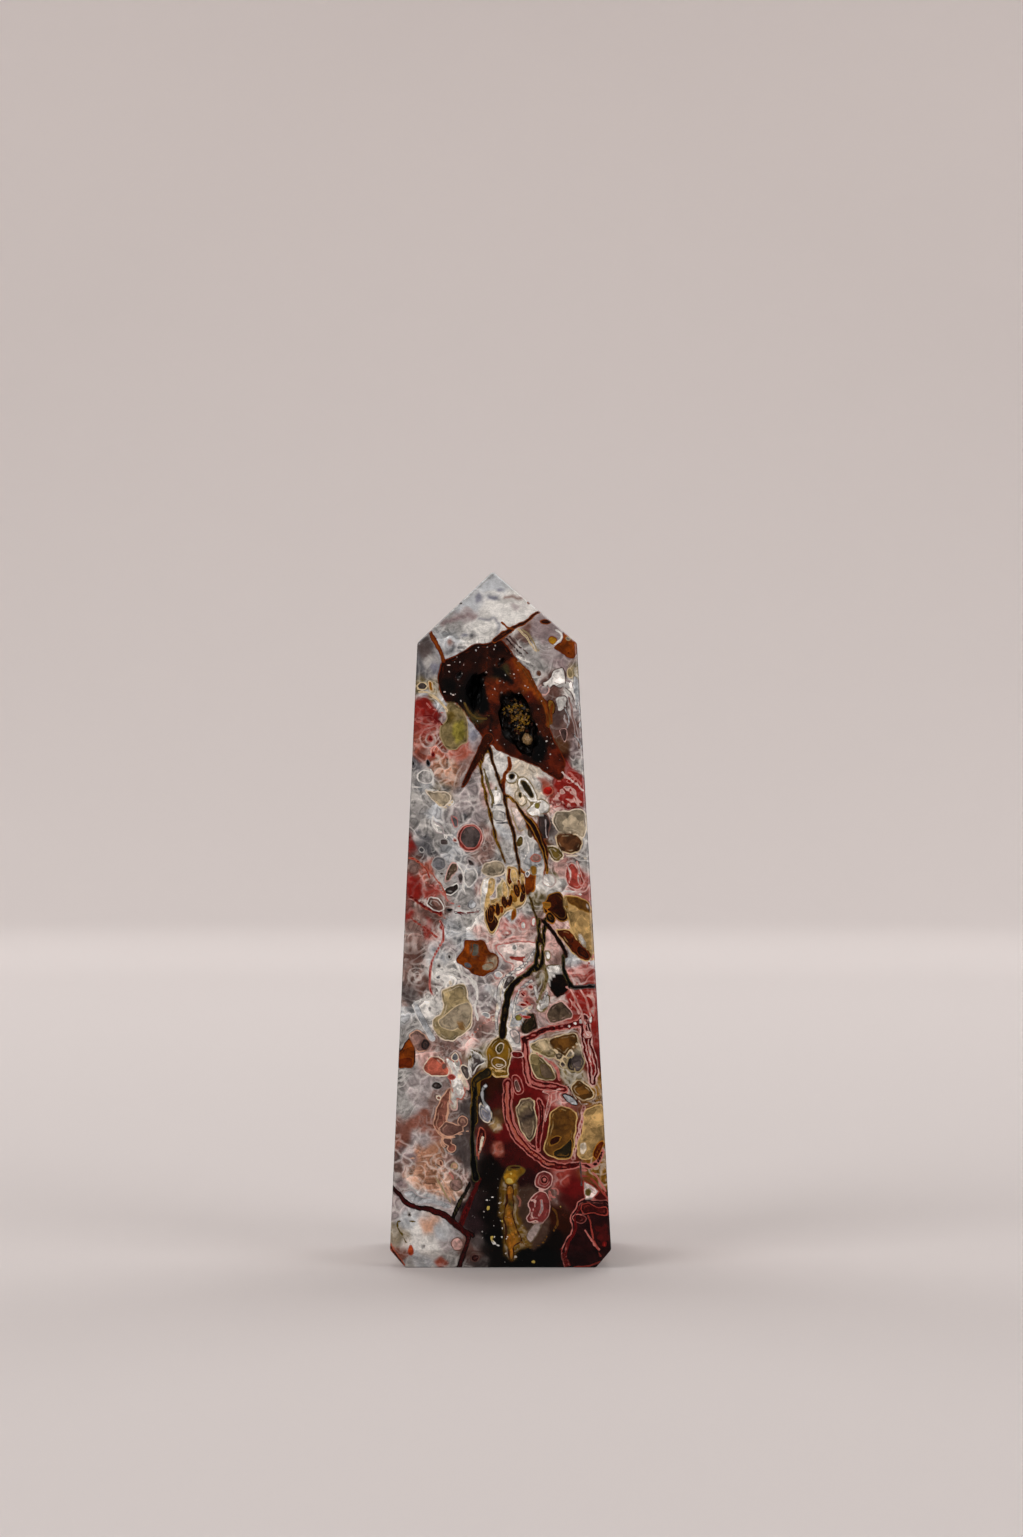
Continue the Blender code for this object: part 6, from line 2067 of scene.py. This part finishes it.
@dataclass(frozen=True)
class DruseFinish:
    """The crystals' finish: golden brown above, near black below, with a sugary glitter of painted glints."""

    roughness: float = 0.22

    def build(self) -> bpy.types.Material:
        """Makes the material.

        Returns:
            The material.
        """
        material, shader = bare_material("golden_druse_crystals")
        graph = Graph(material)
        place = graph.place(1 / MM)
        tint = graph.kept("tint", "Color")
        color = graph.shade(tint, 0.5 + graph.noise(place, 1.8, 3.0, 0.65) * 1.0)
        # Painted glints: random specks on the crystals made much lighter.
        glint_share = graph.noise(place, 4.0, 2.0).rise(0.55, 0.75)
        color = graph.mix(color, graph.shade(color, 1.6 + glint_share), glint_share)
        material.node_tree.links.new(color.socket, shader.inputs["Base Color"])
        rough = self.roughness + graph.noise(place, 3.0) * 0.25
        material.node_tree.links.new(rough.socket, shader.inputs["Roughness"])
        relief = graph.noise(place, 6.0, 3.0, 0.7)
        bump = graph.add("ShaderNodeBump", {}, {"Strength": 0.5, "Distance": 0.0001, "Height": relief})
        material.node_tree.links.new(bump.outputs["Normal"], shader.inputs["Normal"])
        shader.inputs["IOR"].default_value = STONE_IOR
        return material


@dataclass
class AgateTower:
    """The polished stone: a tapered four-sided body, its point and foot, and the vug's openings."""

    outline: Outline = Outline()
    pockets: tuple[Pocket, ...] = (LEFT_POCKET, DRUSE_POCKET, *PINHOLES)
    corner_ease: float = 0.0004
    ridge_ease: float = 0.0002
    ease_steps: int = 2
    rows: int = 176
    columns: int = 58
    foot_rows: int = 6
    pocket_roughness: float = 0.16
    pocket_lumps: float = 1.9

    def add_blank(self) -> bpy.types.Object:
        """Shapes a cube into the sharp-edged tower.

        Returns:
            The tower, with no eased edges yet.
        """
        shape = self.outline
        Modeller.begin()
        bpy.ops.mesh.primitive_cube_add(size=1.0, location=(0, 0, 0.5))
        tower = bpy.context.object
        tower.name = "agate_tower_stone"
        Modeller.finish(tower)
        Modeller.edit(tower)
        Modeller.pick("verts", lambda vert: vert.co.z > 0.5)
        bpy.ops.transform.resize(value=(shape.shoulder_width, shape.shoulder_width, 1))
        bpy.ops.transform.translate(value=(shape.shoulder_lean, 0, shape.shoulder_height - 1))
        Modeller.pick("verts", lambda vert: vert.co.z < 0.01)
        bpy.ops.transform.resize(value=(shape.body_width, shape.body_width, 1))
        bpy.ops.transform.translate(value=(0, 0, shape.chamfer_height))
        bpy.ops.mesh.select_mode(type="FACE")
        Modeller.pick("faces", lambda face: face.normal.z < -0.9)
        down = {"value": (0, 0, -shape.chamfer_height)}
        bpy.ops.mesh.extrude_region_move(TRANSFORM_OT_translate=down)
        foot = shape.foot_width / shape.body_width
        bpy.ops.transform.resize(value=(foot, foot, 1))
        Modeller.pick("faces", lambda face: face.normal.z > 0.9)
        lean = shape.point_lean - shape.shoulder_lean
        rise = {"value": (lean, 0, shape.point_height - shape.shoulder_height)}
        bpy.ops.mesh.extrude_region_move(TRANSFORM_OT_translate=rise)
        bpy.ops.mesh.merge(type="CENTER")
        bpy.ops.mesh.select_all(action="SELECT")
        bpy.ops.mesh.normals_make_consistent(inside=False)
        Modeller.begin()
        return tower

    def ease_edges(self, tower: bpy.types.Object) -> None:
        """Rounds the four long corners a little, and the ridges less.

        Args:
            tower: the sharp-edged tower.
        """
        mesh = tower.data
        weights = mesh.attributes.new("bevel_weight_edge", "FLOAT", "EDGE")
        for edge in mesh.edges:
            start, end = (mesh.vertices[number].co for number in edge.vertices)
            is_corner = (start - end).length > self.outline.shoulder_height / 2
            weights.data[edge.index].value = 1.0 if is_corner else self.ridge_ease / self.corner_ease
        ease = tower.modifiers.new("eased_edges", "BEVEL")
        ease.limit_method = "WEIGHT"
        ease.width = self.corner_ease
        ease.segments = self.ease_steps
        Modeller.apply(tower)

    def divide(self, tower: bpy.types.Object) -> None:
        """Gives the faces enough points to carry the drawing, the front face most.

        Args:
            tower: the tower with its edges eased.
        """
        body = self.outline.shoulder_height / 2
        Modeller.edit(tower, "EDGE")
        Modeller.pick("edges", lambda edge: edge.calc_length() > body)
        bpy.ops.mesh.subdivide(number_cuts=self.rows - 1)
        Modeller.pick("edges", self.is_foot_slope)
        bpy.ops.mesh.subdivide(number_cuts=self.foot_rows - 1)
        Modeller.pick("edges", lambda edge: edge.calc_length() > 0.006)
        bpy.ops.mesh.subdivide(number_cuts=self.columns - 1)
        bpy.ops.mesh.select_mode(type="FACE")
        Modeller.pick("faces", lambda face: face.normal.y < -0.6)
        bpy.ops.mesh.subdivide(number_cuts=1)
        Modeller.begin()

    def is_foot_slope(self, edge: bmesh.types.BMEdge) -> bool:
        """Says whether an edge runs up the foot's chamfer."""
        start, end = (vert.co for vert in edge.verts)
        chamfer = self.outline.chamfer_height
        return abs(start.z - end.z) > 0.7 * chamfer and max(start.z, end.z) < 1.6 * chamfer

    def add_cutter(self, pocket: Pocket, detail: int) -> bpy.types.Object:
        """Makes the lumpy form that opens a pocket. Its lumps need noise, so its points are moved in code.

        Args:
            pocket: the pocket.
            detail: how finely the form is divided.

        Returns:
            The form.
        """
        Modeller.begin()
        bpy.ops.mesh.primitive_ico_sphere_add(subdivisions=detail, radius=1.0)
        cutter = bpy.context.object
        cutter.name = f"{pocket.name}_form"
        seat = Vector((pocket.across, 0, pocket.up)) / MM
        radii = pocket.radii()
        for vert in cutter.data.vertices:
            lump = noise.noise(vert.co * self.pocket_lumps + seat)
            fine = noise.noise(vert.co * 6 + seat) * 0.05
            scale = 1 + self.pocket_roughness * 2 * lump + fine
            vert.co = Vector(scale * a * b for a, b in zip(vert.co, radii))
        cutter.data.transform(pocket.place(self.outline))
        return cutter

    def open_pockets(self, tower: bpy.types.Object) -> None:
        """Cuts each pocket out of the front face.

        Args:
            tower: the tower.
        """
        for pocket in self.pockets:
            cutter = self.add_cutter(pocket, 5 if pocket.depth > 0.002 else 3)
            cut = tower.modifiers.new(pocket.name, "BOOLEAN")
            cut.operation = "DIFFERENCE"
            cut.solver = "EXACT"
            cut.object = cutter
            Modeller.apply(tower)
            bpy.data.objects.remove(cutter, do_unlink=True)

    def paint(self, tower: bpy.types.Object) -> None:
        """Lays the drawing on the stone.

        Args:
            tower: the finished mesh.
        """
        mesh = tower.data
        points = np.empty(len(mesh.vertices) * 3)
        mesh.vertices.foreach_get("co", points)
        points = points.reshape(-1, 3)
        canvas = Canvas.round_tower(points, self.outline)
        painter = Painter(canvas)
        ground = painter.washed(FACE_WASHES, GROUND_FOLDS)
        painter.blend_soft(ground, Layer.SOFT, SOFT_EDGE)
        painter.lay_marks()
        cell = painter.coats[Layer.CELL]
        jasper = next(mark for mark in FACE_MARKS[Layer.CELL] if mark.name == "vug_jasper")
        inside = jasper.distance(canvas.edge_across, canvas.edge_up)
        in_vug = (inside < 0) & canvas.is_front & (cell.fill == jasper.fill.light()).all(axis=1)
        cell.fill[in_vug] = painter.washed(VUG_WASHES, VUG_FOLDS)[in_vug]
        painter.blend_soft(cell.fill, Layer.SHADE, SHADE_EDGE)
        painter.keep(mesh, "ground", ground)
        for layer, coat in painter.coats.items():
            painter.keep(mesh, f"{layer.value}_distance", coat.distance)
            painter.keep(mesh, f"{layer.value}_fill", coat.fill)
            painter.keep(mesh, f"{layer.value}_rim", coat.rim)
        painter.keep(mesh, "depth", canvas.depth)
        calm = sum(spot.share(canvas.across, canvas.up) for spot in CALM_PLACES)
        painter.keep(mesh, "lace", 1 - np.clip(calm, 0, 1))
        crust = np.clip(-inside / 0.8, 0, 1) * canvas.is_front
        painter.keep(mesh, "crust", crust)
        # Where the painted glints go: the low black band and the vug's crust.
        low = np.exp(-(((canvas.across + 0.2) / 2.6) ** 2) - ((canvas.up - 6.5) / 5.0) ** 2)
        painter.keep(mesh, "sparkle", np.clip(low * 1.4 + 0.7 * crust, 0, 1))

    def build(self) -> bpy.types.Object:
        """Makes the stone with its finish.

        Returns:
            The stone.
        """
        tower = self.add_blank()
        self.ease_edges(tower)
        self.divide(tower)
        LOG.info("stone divided: %d points", len(tower.data.vertices))
        self.open_pockets(tower)
        Modeller.choose(tower)
        bpy.ops.object.shade_smooth_by_angle(angle=math.radians(38))
        self.paint(tower)
        tower.data.materials.clear()
        tower.data.materials.append(PolishedAgate().build())
        return tower


@dataclass
class VugDruse:
    """The crust in the vug: a lumpy floor, golden crystals above, dark ones below and a tan lump."""

    outline: Outline = Outline()
    pocket: Pocket = DRUSE_POCKET
    scale: float = 0.84
    floor_depth: float = 0.0019
    roughness: float = 0.32
    root_depth: float = 0.0003
    golden_tries: int = 120
    golden_tones: tuple[Tone, ...] = (Tone.OCHRE, Tone.GOLD, Tone.OCHRE_BROWN, Tone.TAN)
    dark_tries: int = 70
    dark_tones: tuple[Tone, ...] = (Tone.UMBER, Tone.SOOT, Tone.BLACK)
    lump_radius: float = 0.0008
    lump_place: tuple[float, float, float] = (0.0003, 0.0013, -0.0028)

    def add_floor(self) -> bpy.types.Object:
        """Makes the crust's lumpy body at the back of the pocket.

        Returns:
            The crust.
        """
        Modeller.begin()
        bpy.ops.mesh.primitive_ico_sphere_add(subdivisions=5, radius=1.0)
        crust = bpy.context.object
        crust.name = "vug_crust"
        seat = Vector((self.pocket.across, 0, self.pocket.up)) / MM
        radii = self.pocket.radii()
        floor = self.floor_depth / self.pocket.depth
        for vert in crust.data.vertices:
            lump = noise.noise(vert.co * 1.9 + seat)
            point = vert.co * self.scale * (1 + self.roughness * lump)
            bumpy = floor + 0.16 * noise.noise(vert.co * 3.1 + seat) + 0.07 * noise.noise(vert.co * 8 + seat)
            point.y = max(point.y, bumpy)
            vert.co = Vector(a * b for a, b in zip(point, radii))
        crust.data.transform(self.pocket.place(self.outline))
        return crust

    def add_crystal(self) -> bpy.types.Object:
        """Makes one six-sided crystal with a blunt pointed end, 1 m high, its root at the origin.

        Returns:
            The crystal.
        """
        Modeller.begin()
        bpy.ops.mesh.primitive_cylinder_add(vertices=6, radius=0.5, depth=0.6, location=(0, 0, 0.3))
        crystal = bpy.context.object
        Modeller.finish(crystal)
        Modeller.edit(crystal, "FACE")
        Modeller.pick("faces", lambda face: face.normal.z > 0.9)
        bpy.ops.mesh.extrude_region_move(TRANSFORM_OT_translate={"value": (0, 0, 0.4)})
        bpy.ops.transform.resize(value=(0.12, 0.12, 1))
        Modeller.begin()
        return crystal

    def crystal_places(self) -> Iterator[tuple[Vector, float, float, Tone]]:
        """Yields each crystal's root in the pocket's own axes, its width, length and tone."""
        chance = random.Random(19)
        root = self.floor_depth + self.root_depth
        for _ in range(self.golden_tries):
            across = chance.gauss(0.0003, 0.0007)
            along = chance.gauss(0.0006, 0.0011)
            if (across / 0.0018) ** 2 + (along / 0.0034) ** 2 > 1:
                continue
            tone = chance.choice(self.golden_tones)
            yield Vector((across, root, along)), 0.0003, chance.uniform(0.0005, 0.0013), tone
        for _ in range(self.dark_tries):
            across = chance.uniform(-0.0019, 0.0019)
            along = chance.uniform(-0.0038, 0.0036)
            if (across / 0.0019) ** 2 + (along / 0.0038) ** 2 > 0.9:
                continue
            tone = chance.choice(self.dark_tones)
            yield Vector((across, root, along)), 0.0005, chance.uniform(0.0006, 0.0010), tone

    def tinted(self, piece: bpy.types.Object, tone: Tone) -> None:
        """Gives every point of a piece one tint.

        Args:
            piece: the piece.
            tone: its tint.
        """
        count = len(piece.data.vertices)
        Painter.keep(piece.data, "tint", np.tile(tone.light(), (count, 1)))

    def build(self) -> bpy.types.Object:
        """Makes the druse with its finish.

        Returns:
            The druse.
        """
        crust = self.add_floor()
        self.tinted(crust, Tone.SOOT)
        pieces = [crust]
        model = self.add_crystal()
        chance = random.Random(4)
        place = self.pocket.place(self.outline)
        for root, width, length, tone in self.crystal_places():
            copy = model.copy()
            copy.data = model.data.copy()
            bpy.context.scene.collection.objects.link(copy)
            tilt = math.radians(90 + chance.uniform(-40, 40))
            lean = Euler((tilt, 0, math.radians(chance.uniform(-40, 40))))
            spin = Matrix.Rotation(chance.uniform(0, math.tau), 4, "Z")
            size = Matrix.Diagonal((width * chance.uniform(0.7, 1.5), width, length, 1))
            copy.data.transform(place @ Matrix.Translation(root) @ lean.to_matrix().to_4x4() @ spin @ size)
            self.tinted(copy, tone)
            pieces.append(copy)
        bpy.data.objects.remove(model, do_unlink=True)
        pieces.append(self.add_lump(place))
        Modeller.begin()
        for piece in pieces:
            piece.select_set(True)
        bpy.context.view_layer.objects.active = crust
        bpy.ops.object.join()
        crust.name = "vug_druse_crystals"
        bpy.ops.object.shade_smooth_by_angle(angle=math.radians(28))
        crust.data.materials.clear()
        crust.data.materials.append(DruseFinish().build())
        return crust

    def add_lump(self, place: Matrix) -> bpy.types.Object:
        """Makes the tan lump near the pocket's lower end.

        Args:
            place: the pocket's own axes.

        Returns:
            The lump.
        """
        Modeller.begin()
        bpy.ops.mesh.primitive_ico_sphere_add(subdivisions=3, radius=1.0)
        lump = bpy.context.object
        for vert in lump.data.vertices:
            scale = self.lump_radius * (1 + 0.3 * noise.noise(vert.co * 2.3))
            vert.co = Vector((vert.co.x * scale * 0.9, vert.co.y * scale, vert.co.z * scale))
        lump.data.transform(place @ Matrix.Translation(self.lump_place))
        self.tinted(lump, Tone.TAN)
        return lump


@dataclass
class Studio:
    """The plain pale room: a floor that curves up into its wall, soft lights and the camera."""

    floor_radius: float = 1.15
    curve_radius: float = 0.45
    wall_height: float = 2.2
    wall_steps: int = 12
    key_power: float = 5.2
    wall_power: float = 2.9
    paper: tuple[float, float, float, float] = (0.725, 0.670, 0.650, 1)
    daylight: tuple[float, float, float, float] = (1.0, 0.99, 0.985, 1)
    daylight_strength: float = 0.06
    camera_place: tuple[float, float, float] = (0.00156, -0.5321, 0.0713)
    camera_lens: float = 85

    def add_backdrop(self) -> bpy.types.Object:
        """Makes the round floor and its wall.

        Returns:
            The backdrop.
        """
        Modeller.begin()
        bpy.ops.mesh.primitive_circle_add(vertices=96, radius=self.floor_radius, fill_type="NGON")
        backdrop = bpy.context.object
        backdrop.name = "backdrop"
        Modeller.edit(backdrop, "FACE")
        bpy.ops.mesh.select_all(action="SELECT")
        reach = self.floor_radius
        for step in range(self.wall_steps):
            angle = math.radians(90 * (step + 0.5) / self.wall_steps)
            length = self.curve_radius * math.radians(90 / self.wall_steps)
            grown = reach + length * math.cos(angle)
            bpy.ops.mesh.extrude_region_move(
                TRANSFORM_OT_translate={"value": (0, 0, length * math.sin(angle))}
            )
            bpy.ops.transform.resize(value=(grown / reach, grown / reach, 1))
            reach = grown
        bpy.ops.mesh.extrude_region_move(TRANSFORM_OT_translate={"value": (0, 0, self.wall_height)})
        bpy.ops.mesh.delete(type="ONLY_FACE")
        Modeller.begin()
        return backdrop

    def dress_backdrop(self, backdrop: bpy.types.Object) -> None:
        """Gives the backdrop smooth shading and the paper's matt finish.

        Args:
            backdrop: the floor and wall.
        """
        material, shader = bare_material("pale_paper")
        shader.inputs["Base Color"].default_value = self.paper
        shader.inputs["Roughness"].default_value = 0.9
        shader.inputs["Specular IOR Level"].default_value = 0.2
        backdrop.data.materials.append(material)
        Modeller.choose(backdrop)
        bpy.ops.object.shade_smooth()
        backdrop.visible_glossy = False

    def add_light(
        self,
        name: str,
        place: tuple[float, float, float],
        size: tuple[float, float],
        power: float,
        aim: tuple[float, float, float] = (0.0, 0.0, 0.05),
    ) -> None:
        """Hangs a soft rectangular light, which looks at the tower unless it is told another aim.

        Args:
            name: the light's name.
            place: where it hangs.
            size: its width and height in metres.
            power: its power in watts.
            aim: the place that it looks at.
        """
        data = bpy.data.lights.new(name, "AREA")
        data.shape = "RECTANGLE"
        data.size, data.size_y = size
        data.energy = power
        light = bpy.data.objects.new(name, data)
        bpy.context.scene.collection.objects.link(light)
        light.location = place
        light.rotation_euler = (Vector(aim) - Vector(place)).to_track_quat("-Z", "Y").to_euler()
        light.visible_camera = False

    def add_camera(self) -> None:
        """Sets the camera level, where the photograph was taken from."""
        data = bpy.data.cameras.new("camera")
        data.lens = self.camera_lens
        data.sensor_width = 36
        camera = bpy.data.objects.new("camera", data)
        bpy.context.scene.collection.objects.link(camera)
        camera.location = self.camera_place
        camera.rotation_euler = (math.radians(90), 0, 0)
        bpy.context.scene.camera = camera

    def build(self) -> None:
        """Sets up the room."""
        scene = bpy.context.scene
        scene.view_settings.view_transform = "Standard"
        scene.view_settings.look = "None"
        world = bpy.data.worlds.new("room")
        world.use_nodes = True
        background = world.node_tree.nodes["Background"]
        background.inputs["Color"].default_value = self.daylight
        background.inputs["Strength"].default_value = self.daylight_strength
        scene.world = world
        self.dress_backdrop(self.add_backdrop())
        self.add_light("key", (-0.75, -0.75, 0.75), (0.7, 0.7), self.key_power)
        self.add_light("fill", (0.85, -0.70, 0.45), (0.7, 0.7), self.key_power * 0.75)
        self.add_light("back_left", (-0.75, 0.75, 0.7), (0.7, 0.7), self.key_power * 0.6)
        self.add_light("back_right", (0.75, 0.80, 0.7), (0.7, 0.7), self.key_power * 0.6)
        self.add_light("top", (0.0, 0.75, 1.2), (0.9, 0.9), self.key_power)
        self.add_light("wall", (0.0, 0.6, 0.60), (1.8, 0.3), self.wall_power, aim=(0.0, 1.6, 0.75))
        self.add_camera()


def main() -> None:
    """Builds the looks piece by piece and says what was made."""
    logging.basicConfig(level=logging.INFO, format="%(name)s: %(message)s")
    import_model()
    Studio().build()
    LOG.info("studio ready")
    tower = AgateTower().build()
    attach(tower, "root")
    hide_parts("agate_tower")
    LOG.info("stone: %d points, %d faces", len(tower.data.vertices), len(tower.data.polygons))
    druse = VugDruse().build()
    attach(druse, "root")
    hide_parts("vug_druse")
    LOG.info("druse: %d points", len(druse.data.vertices))


if __name__ == "__main__":
    main()
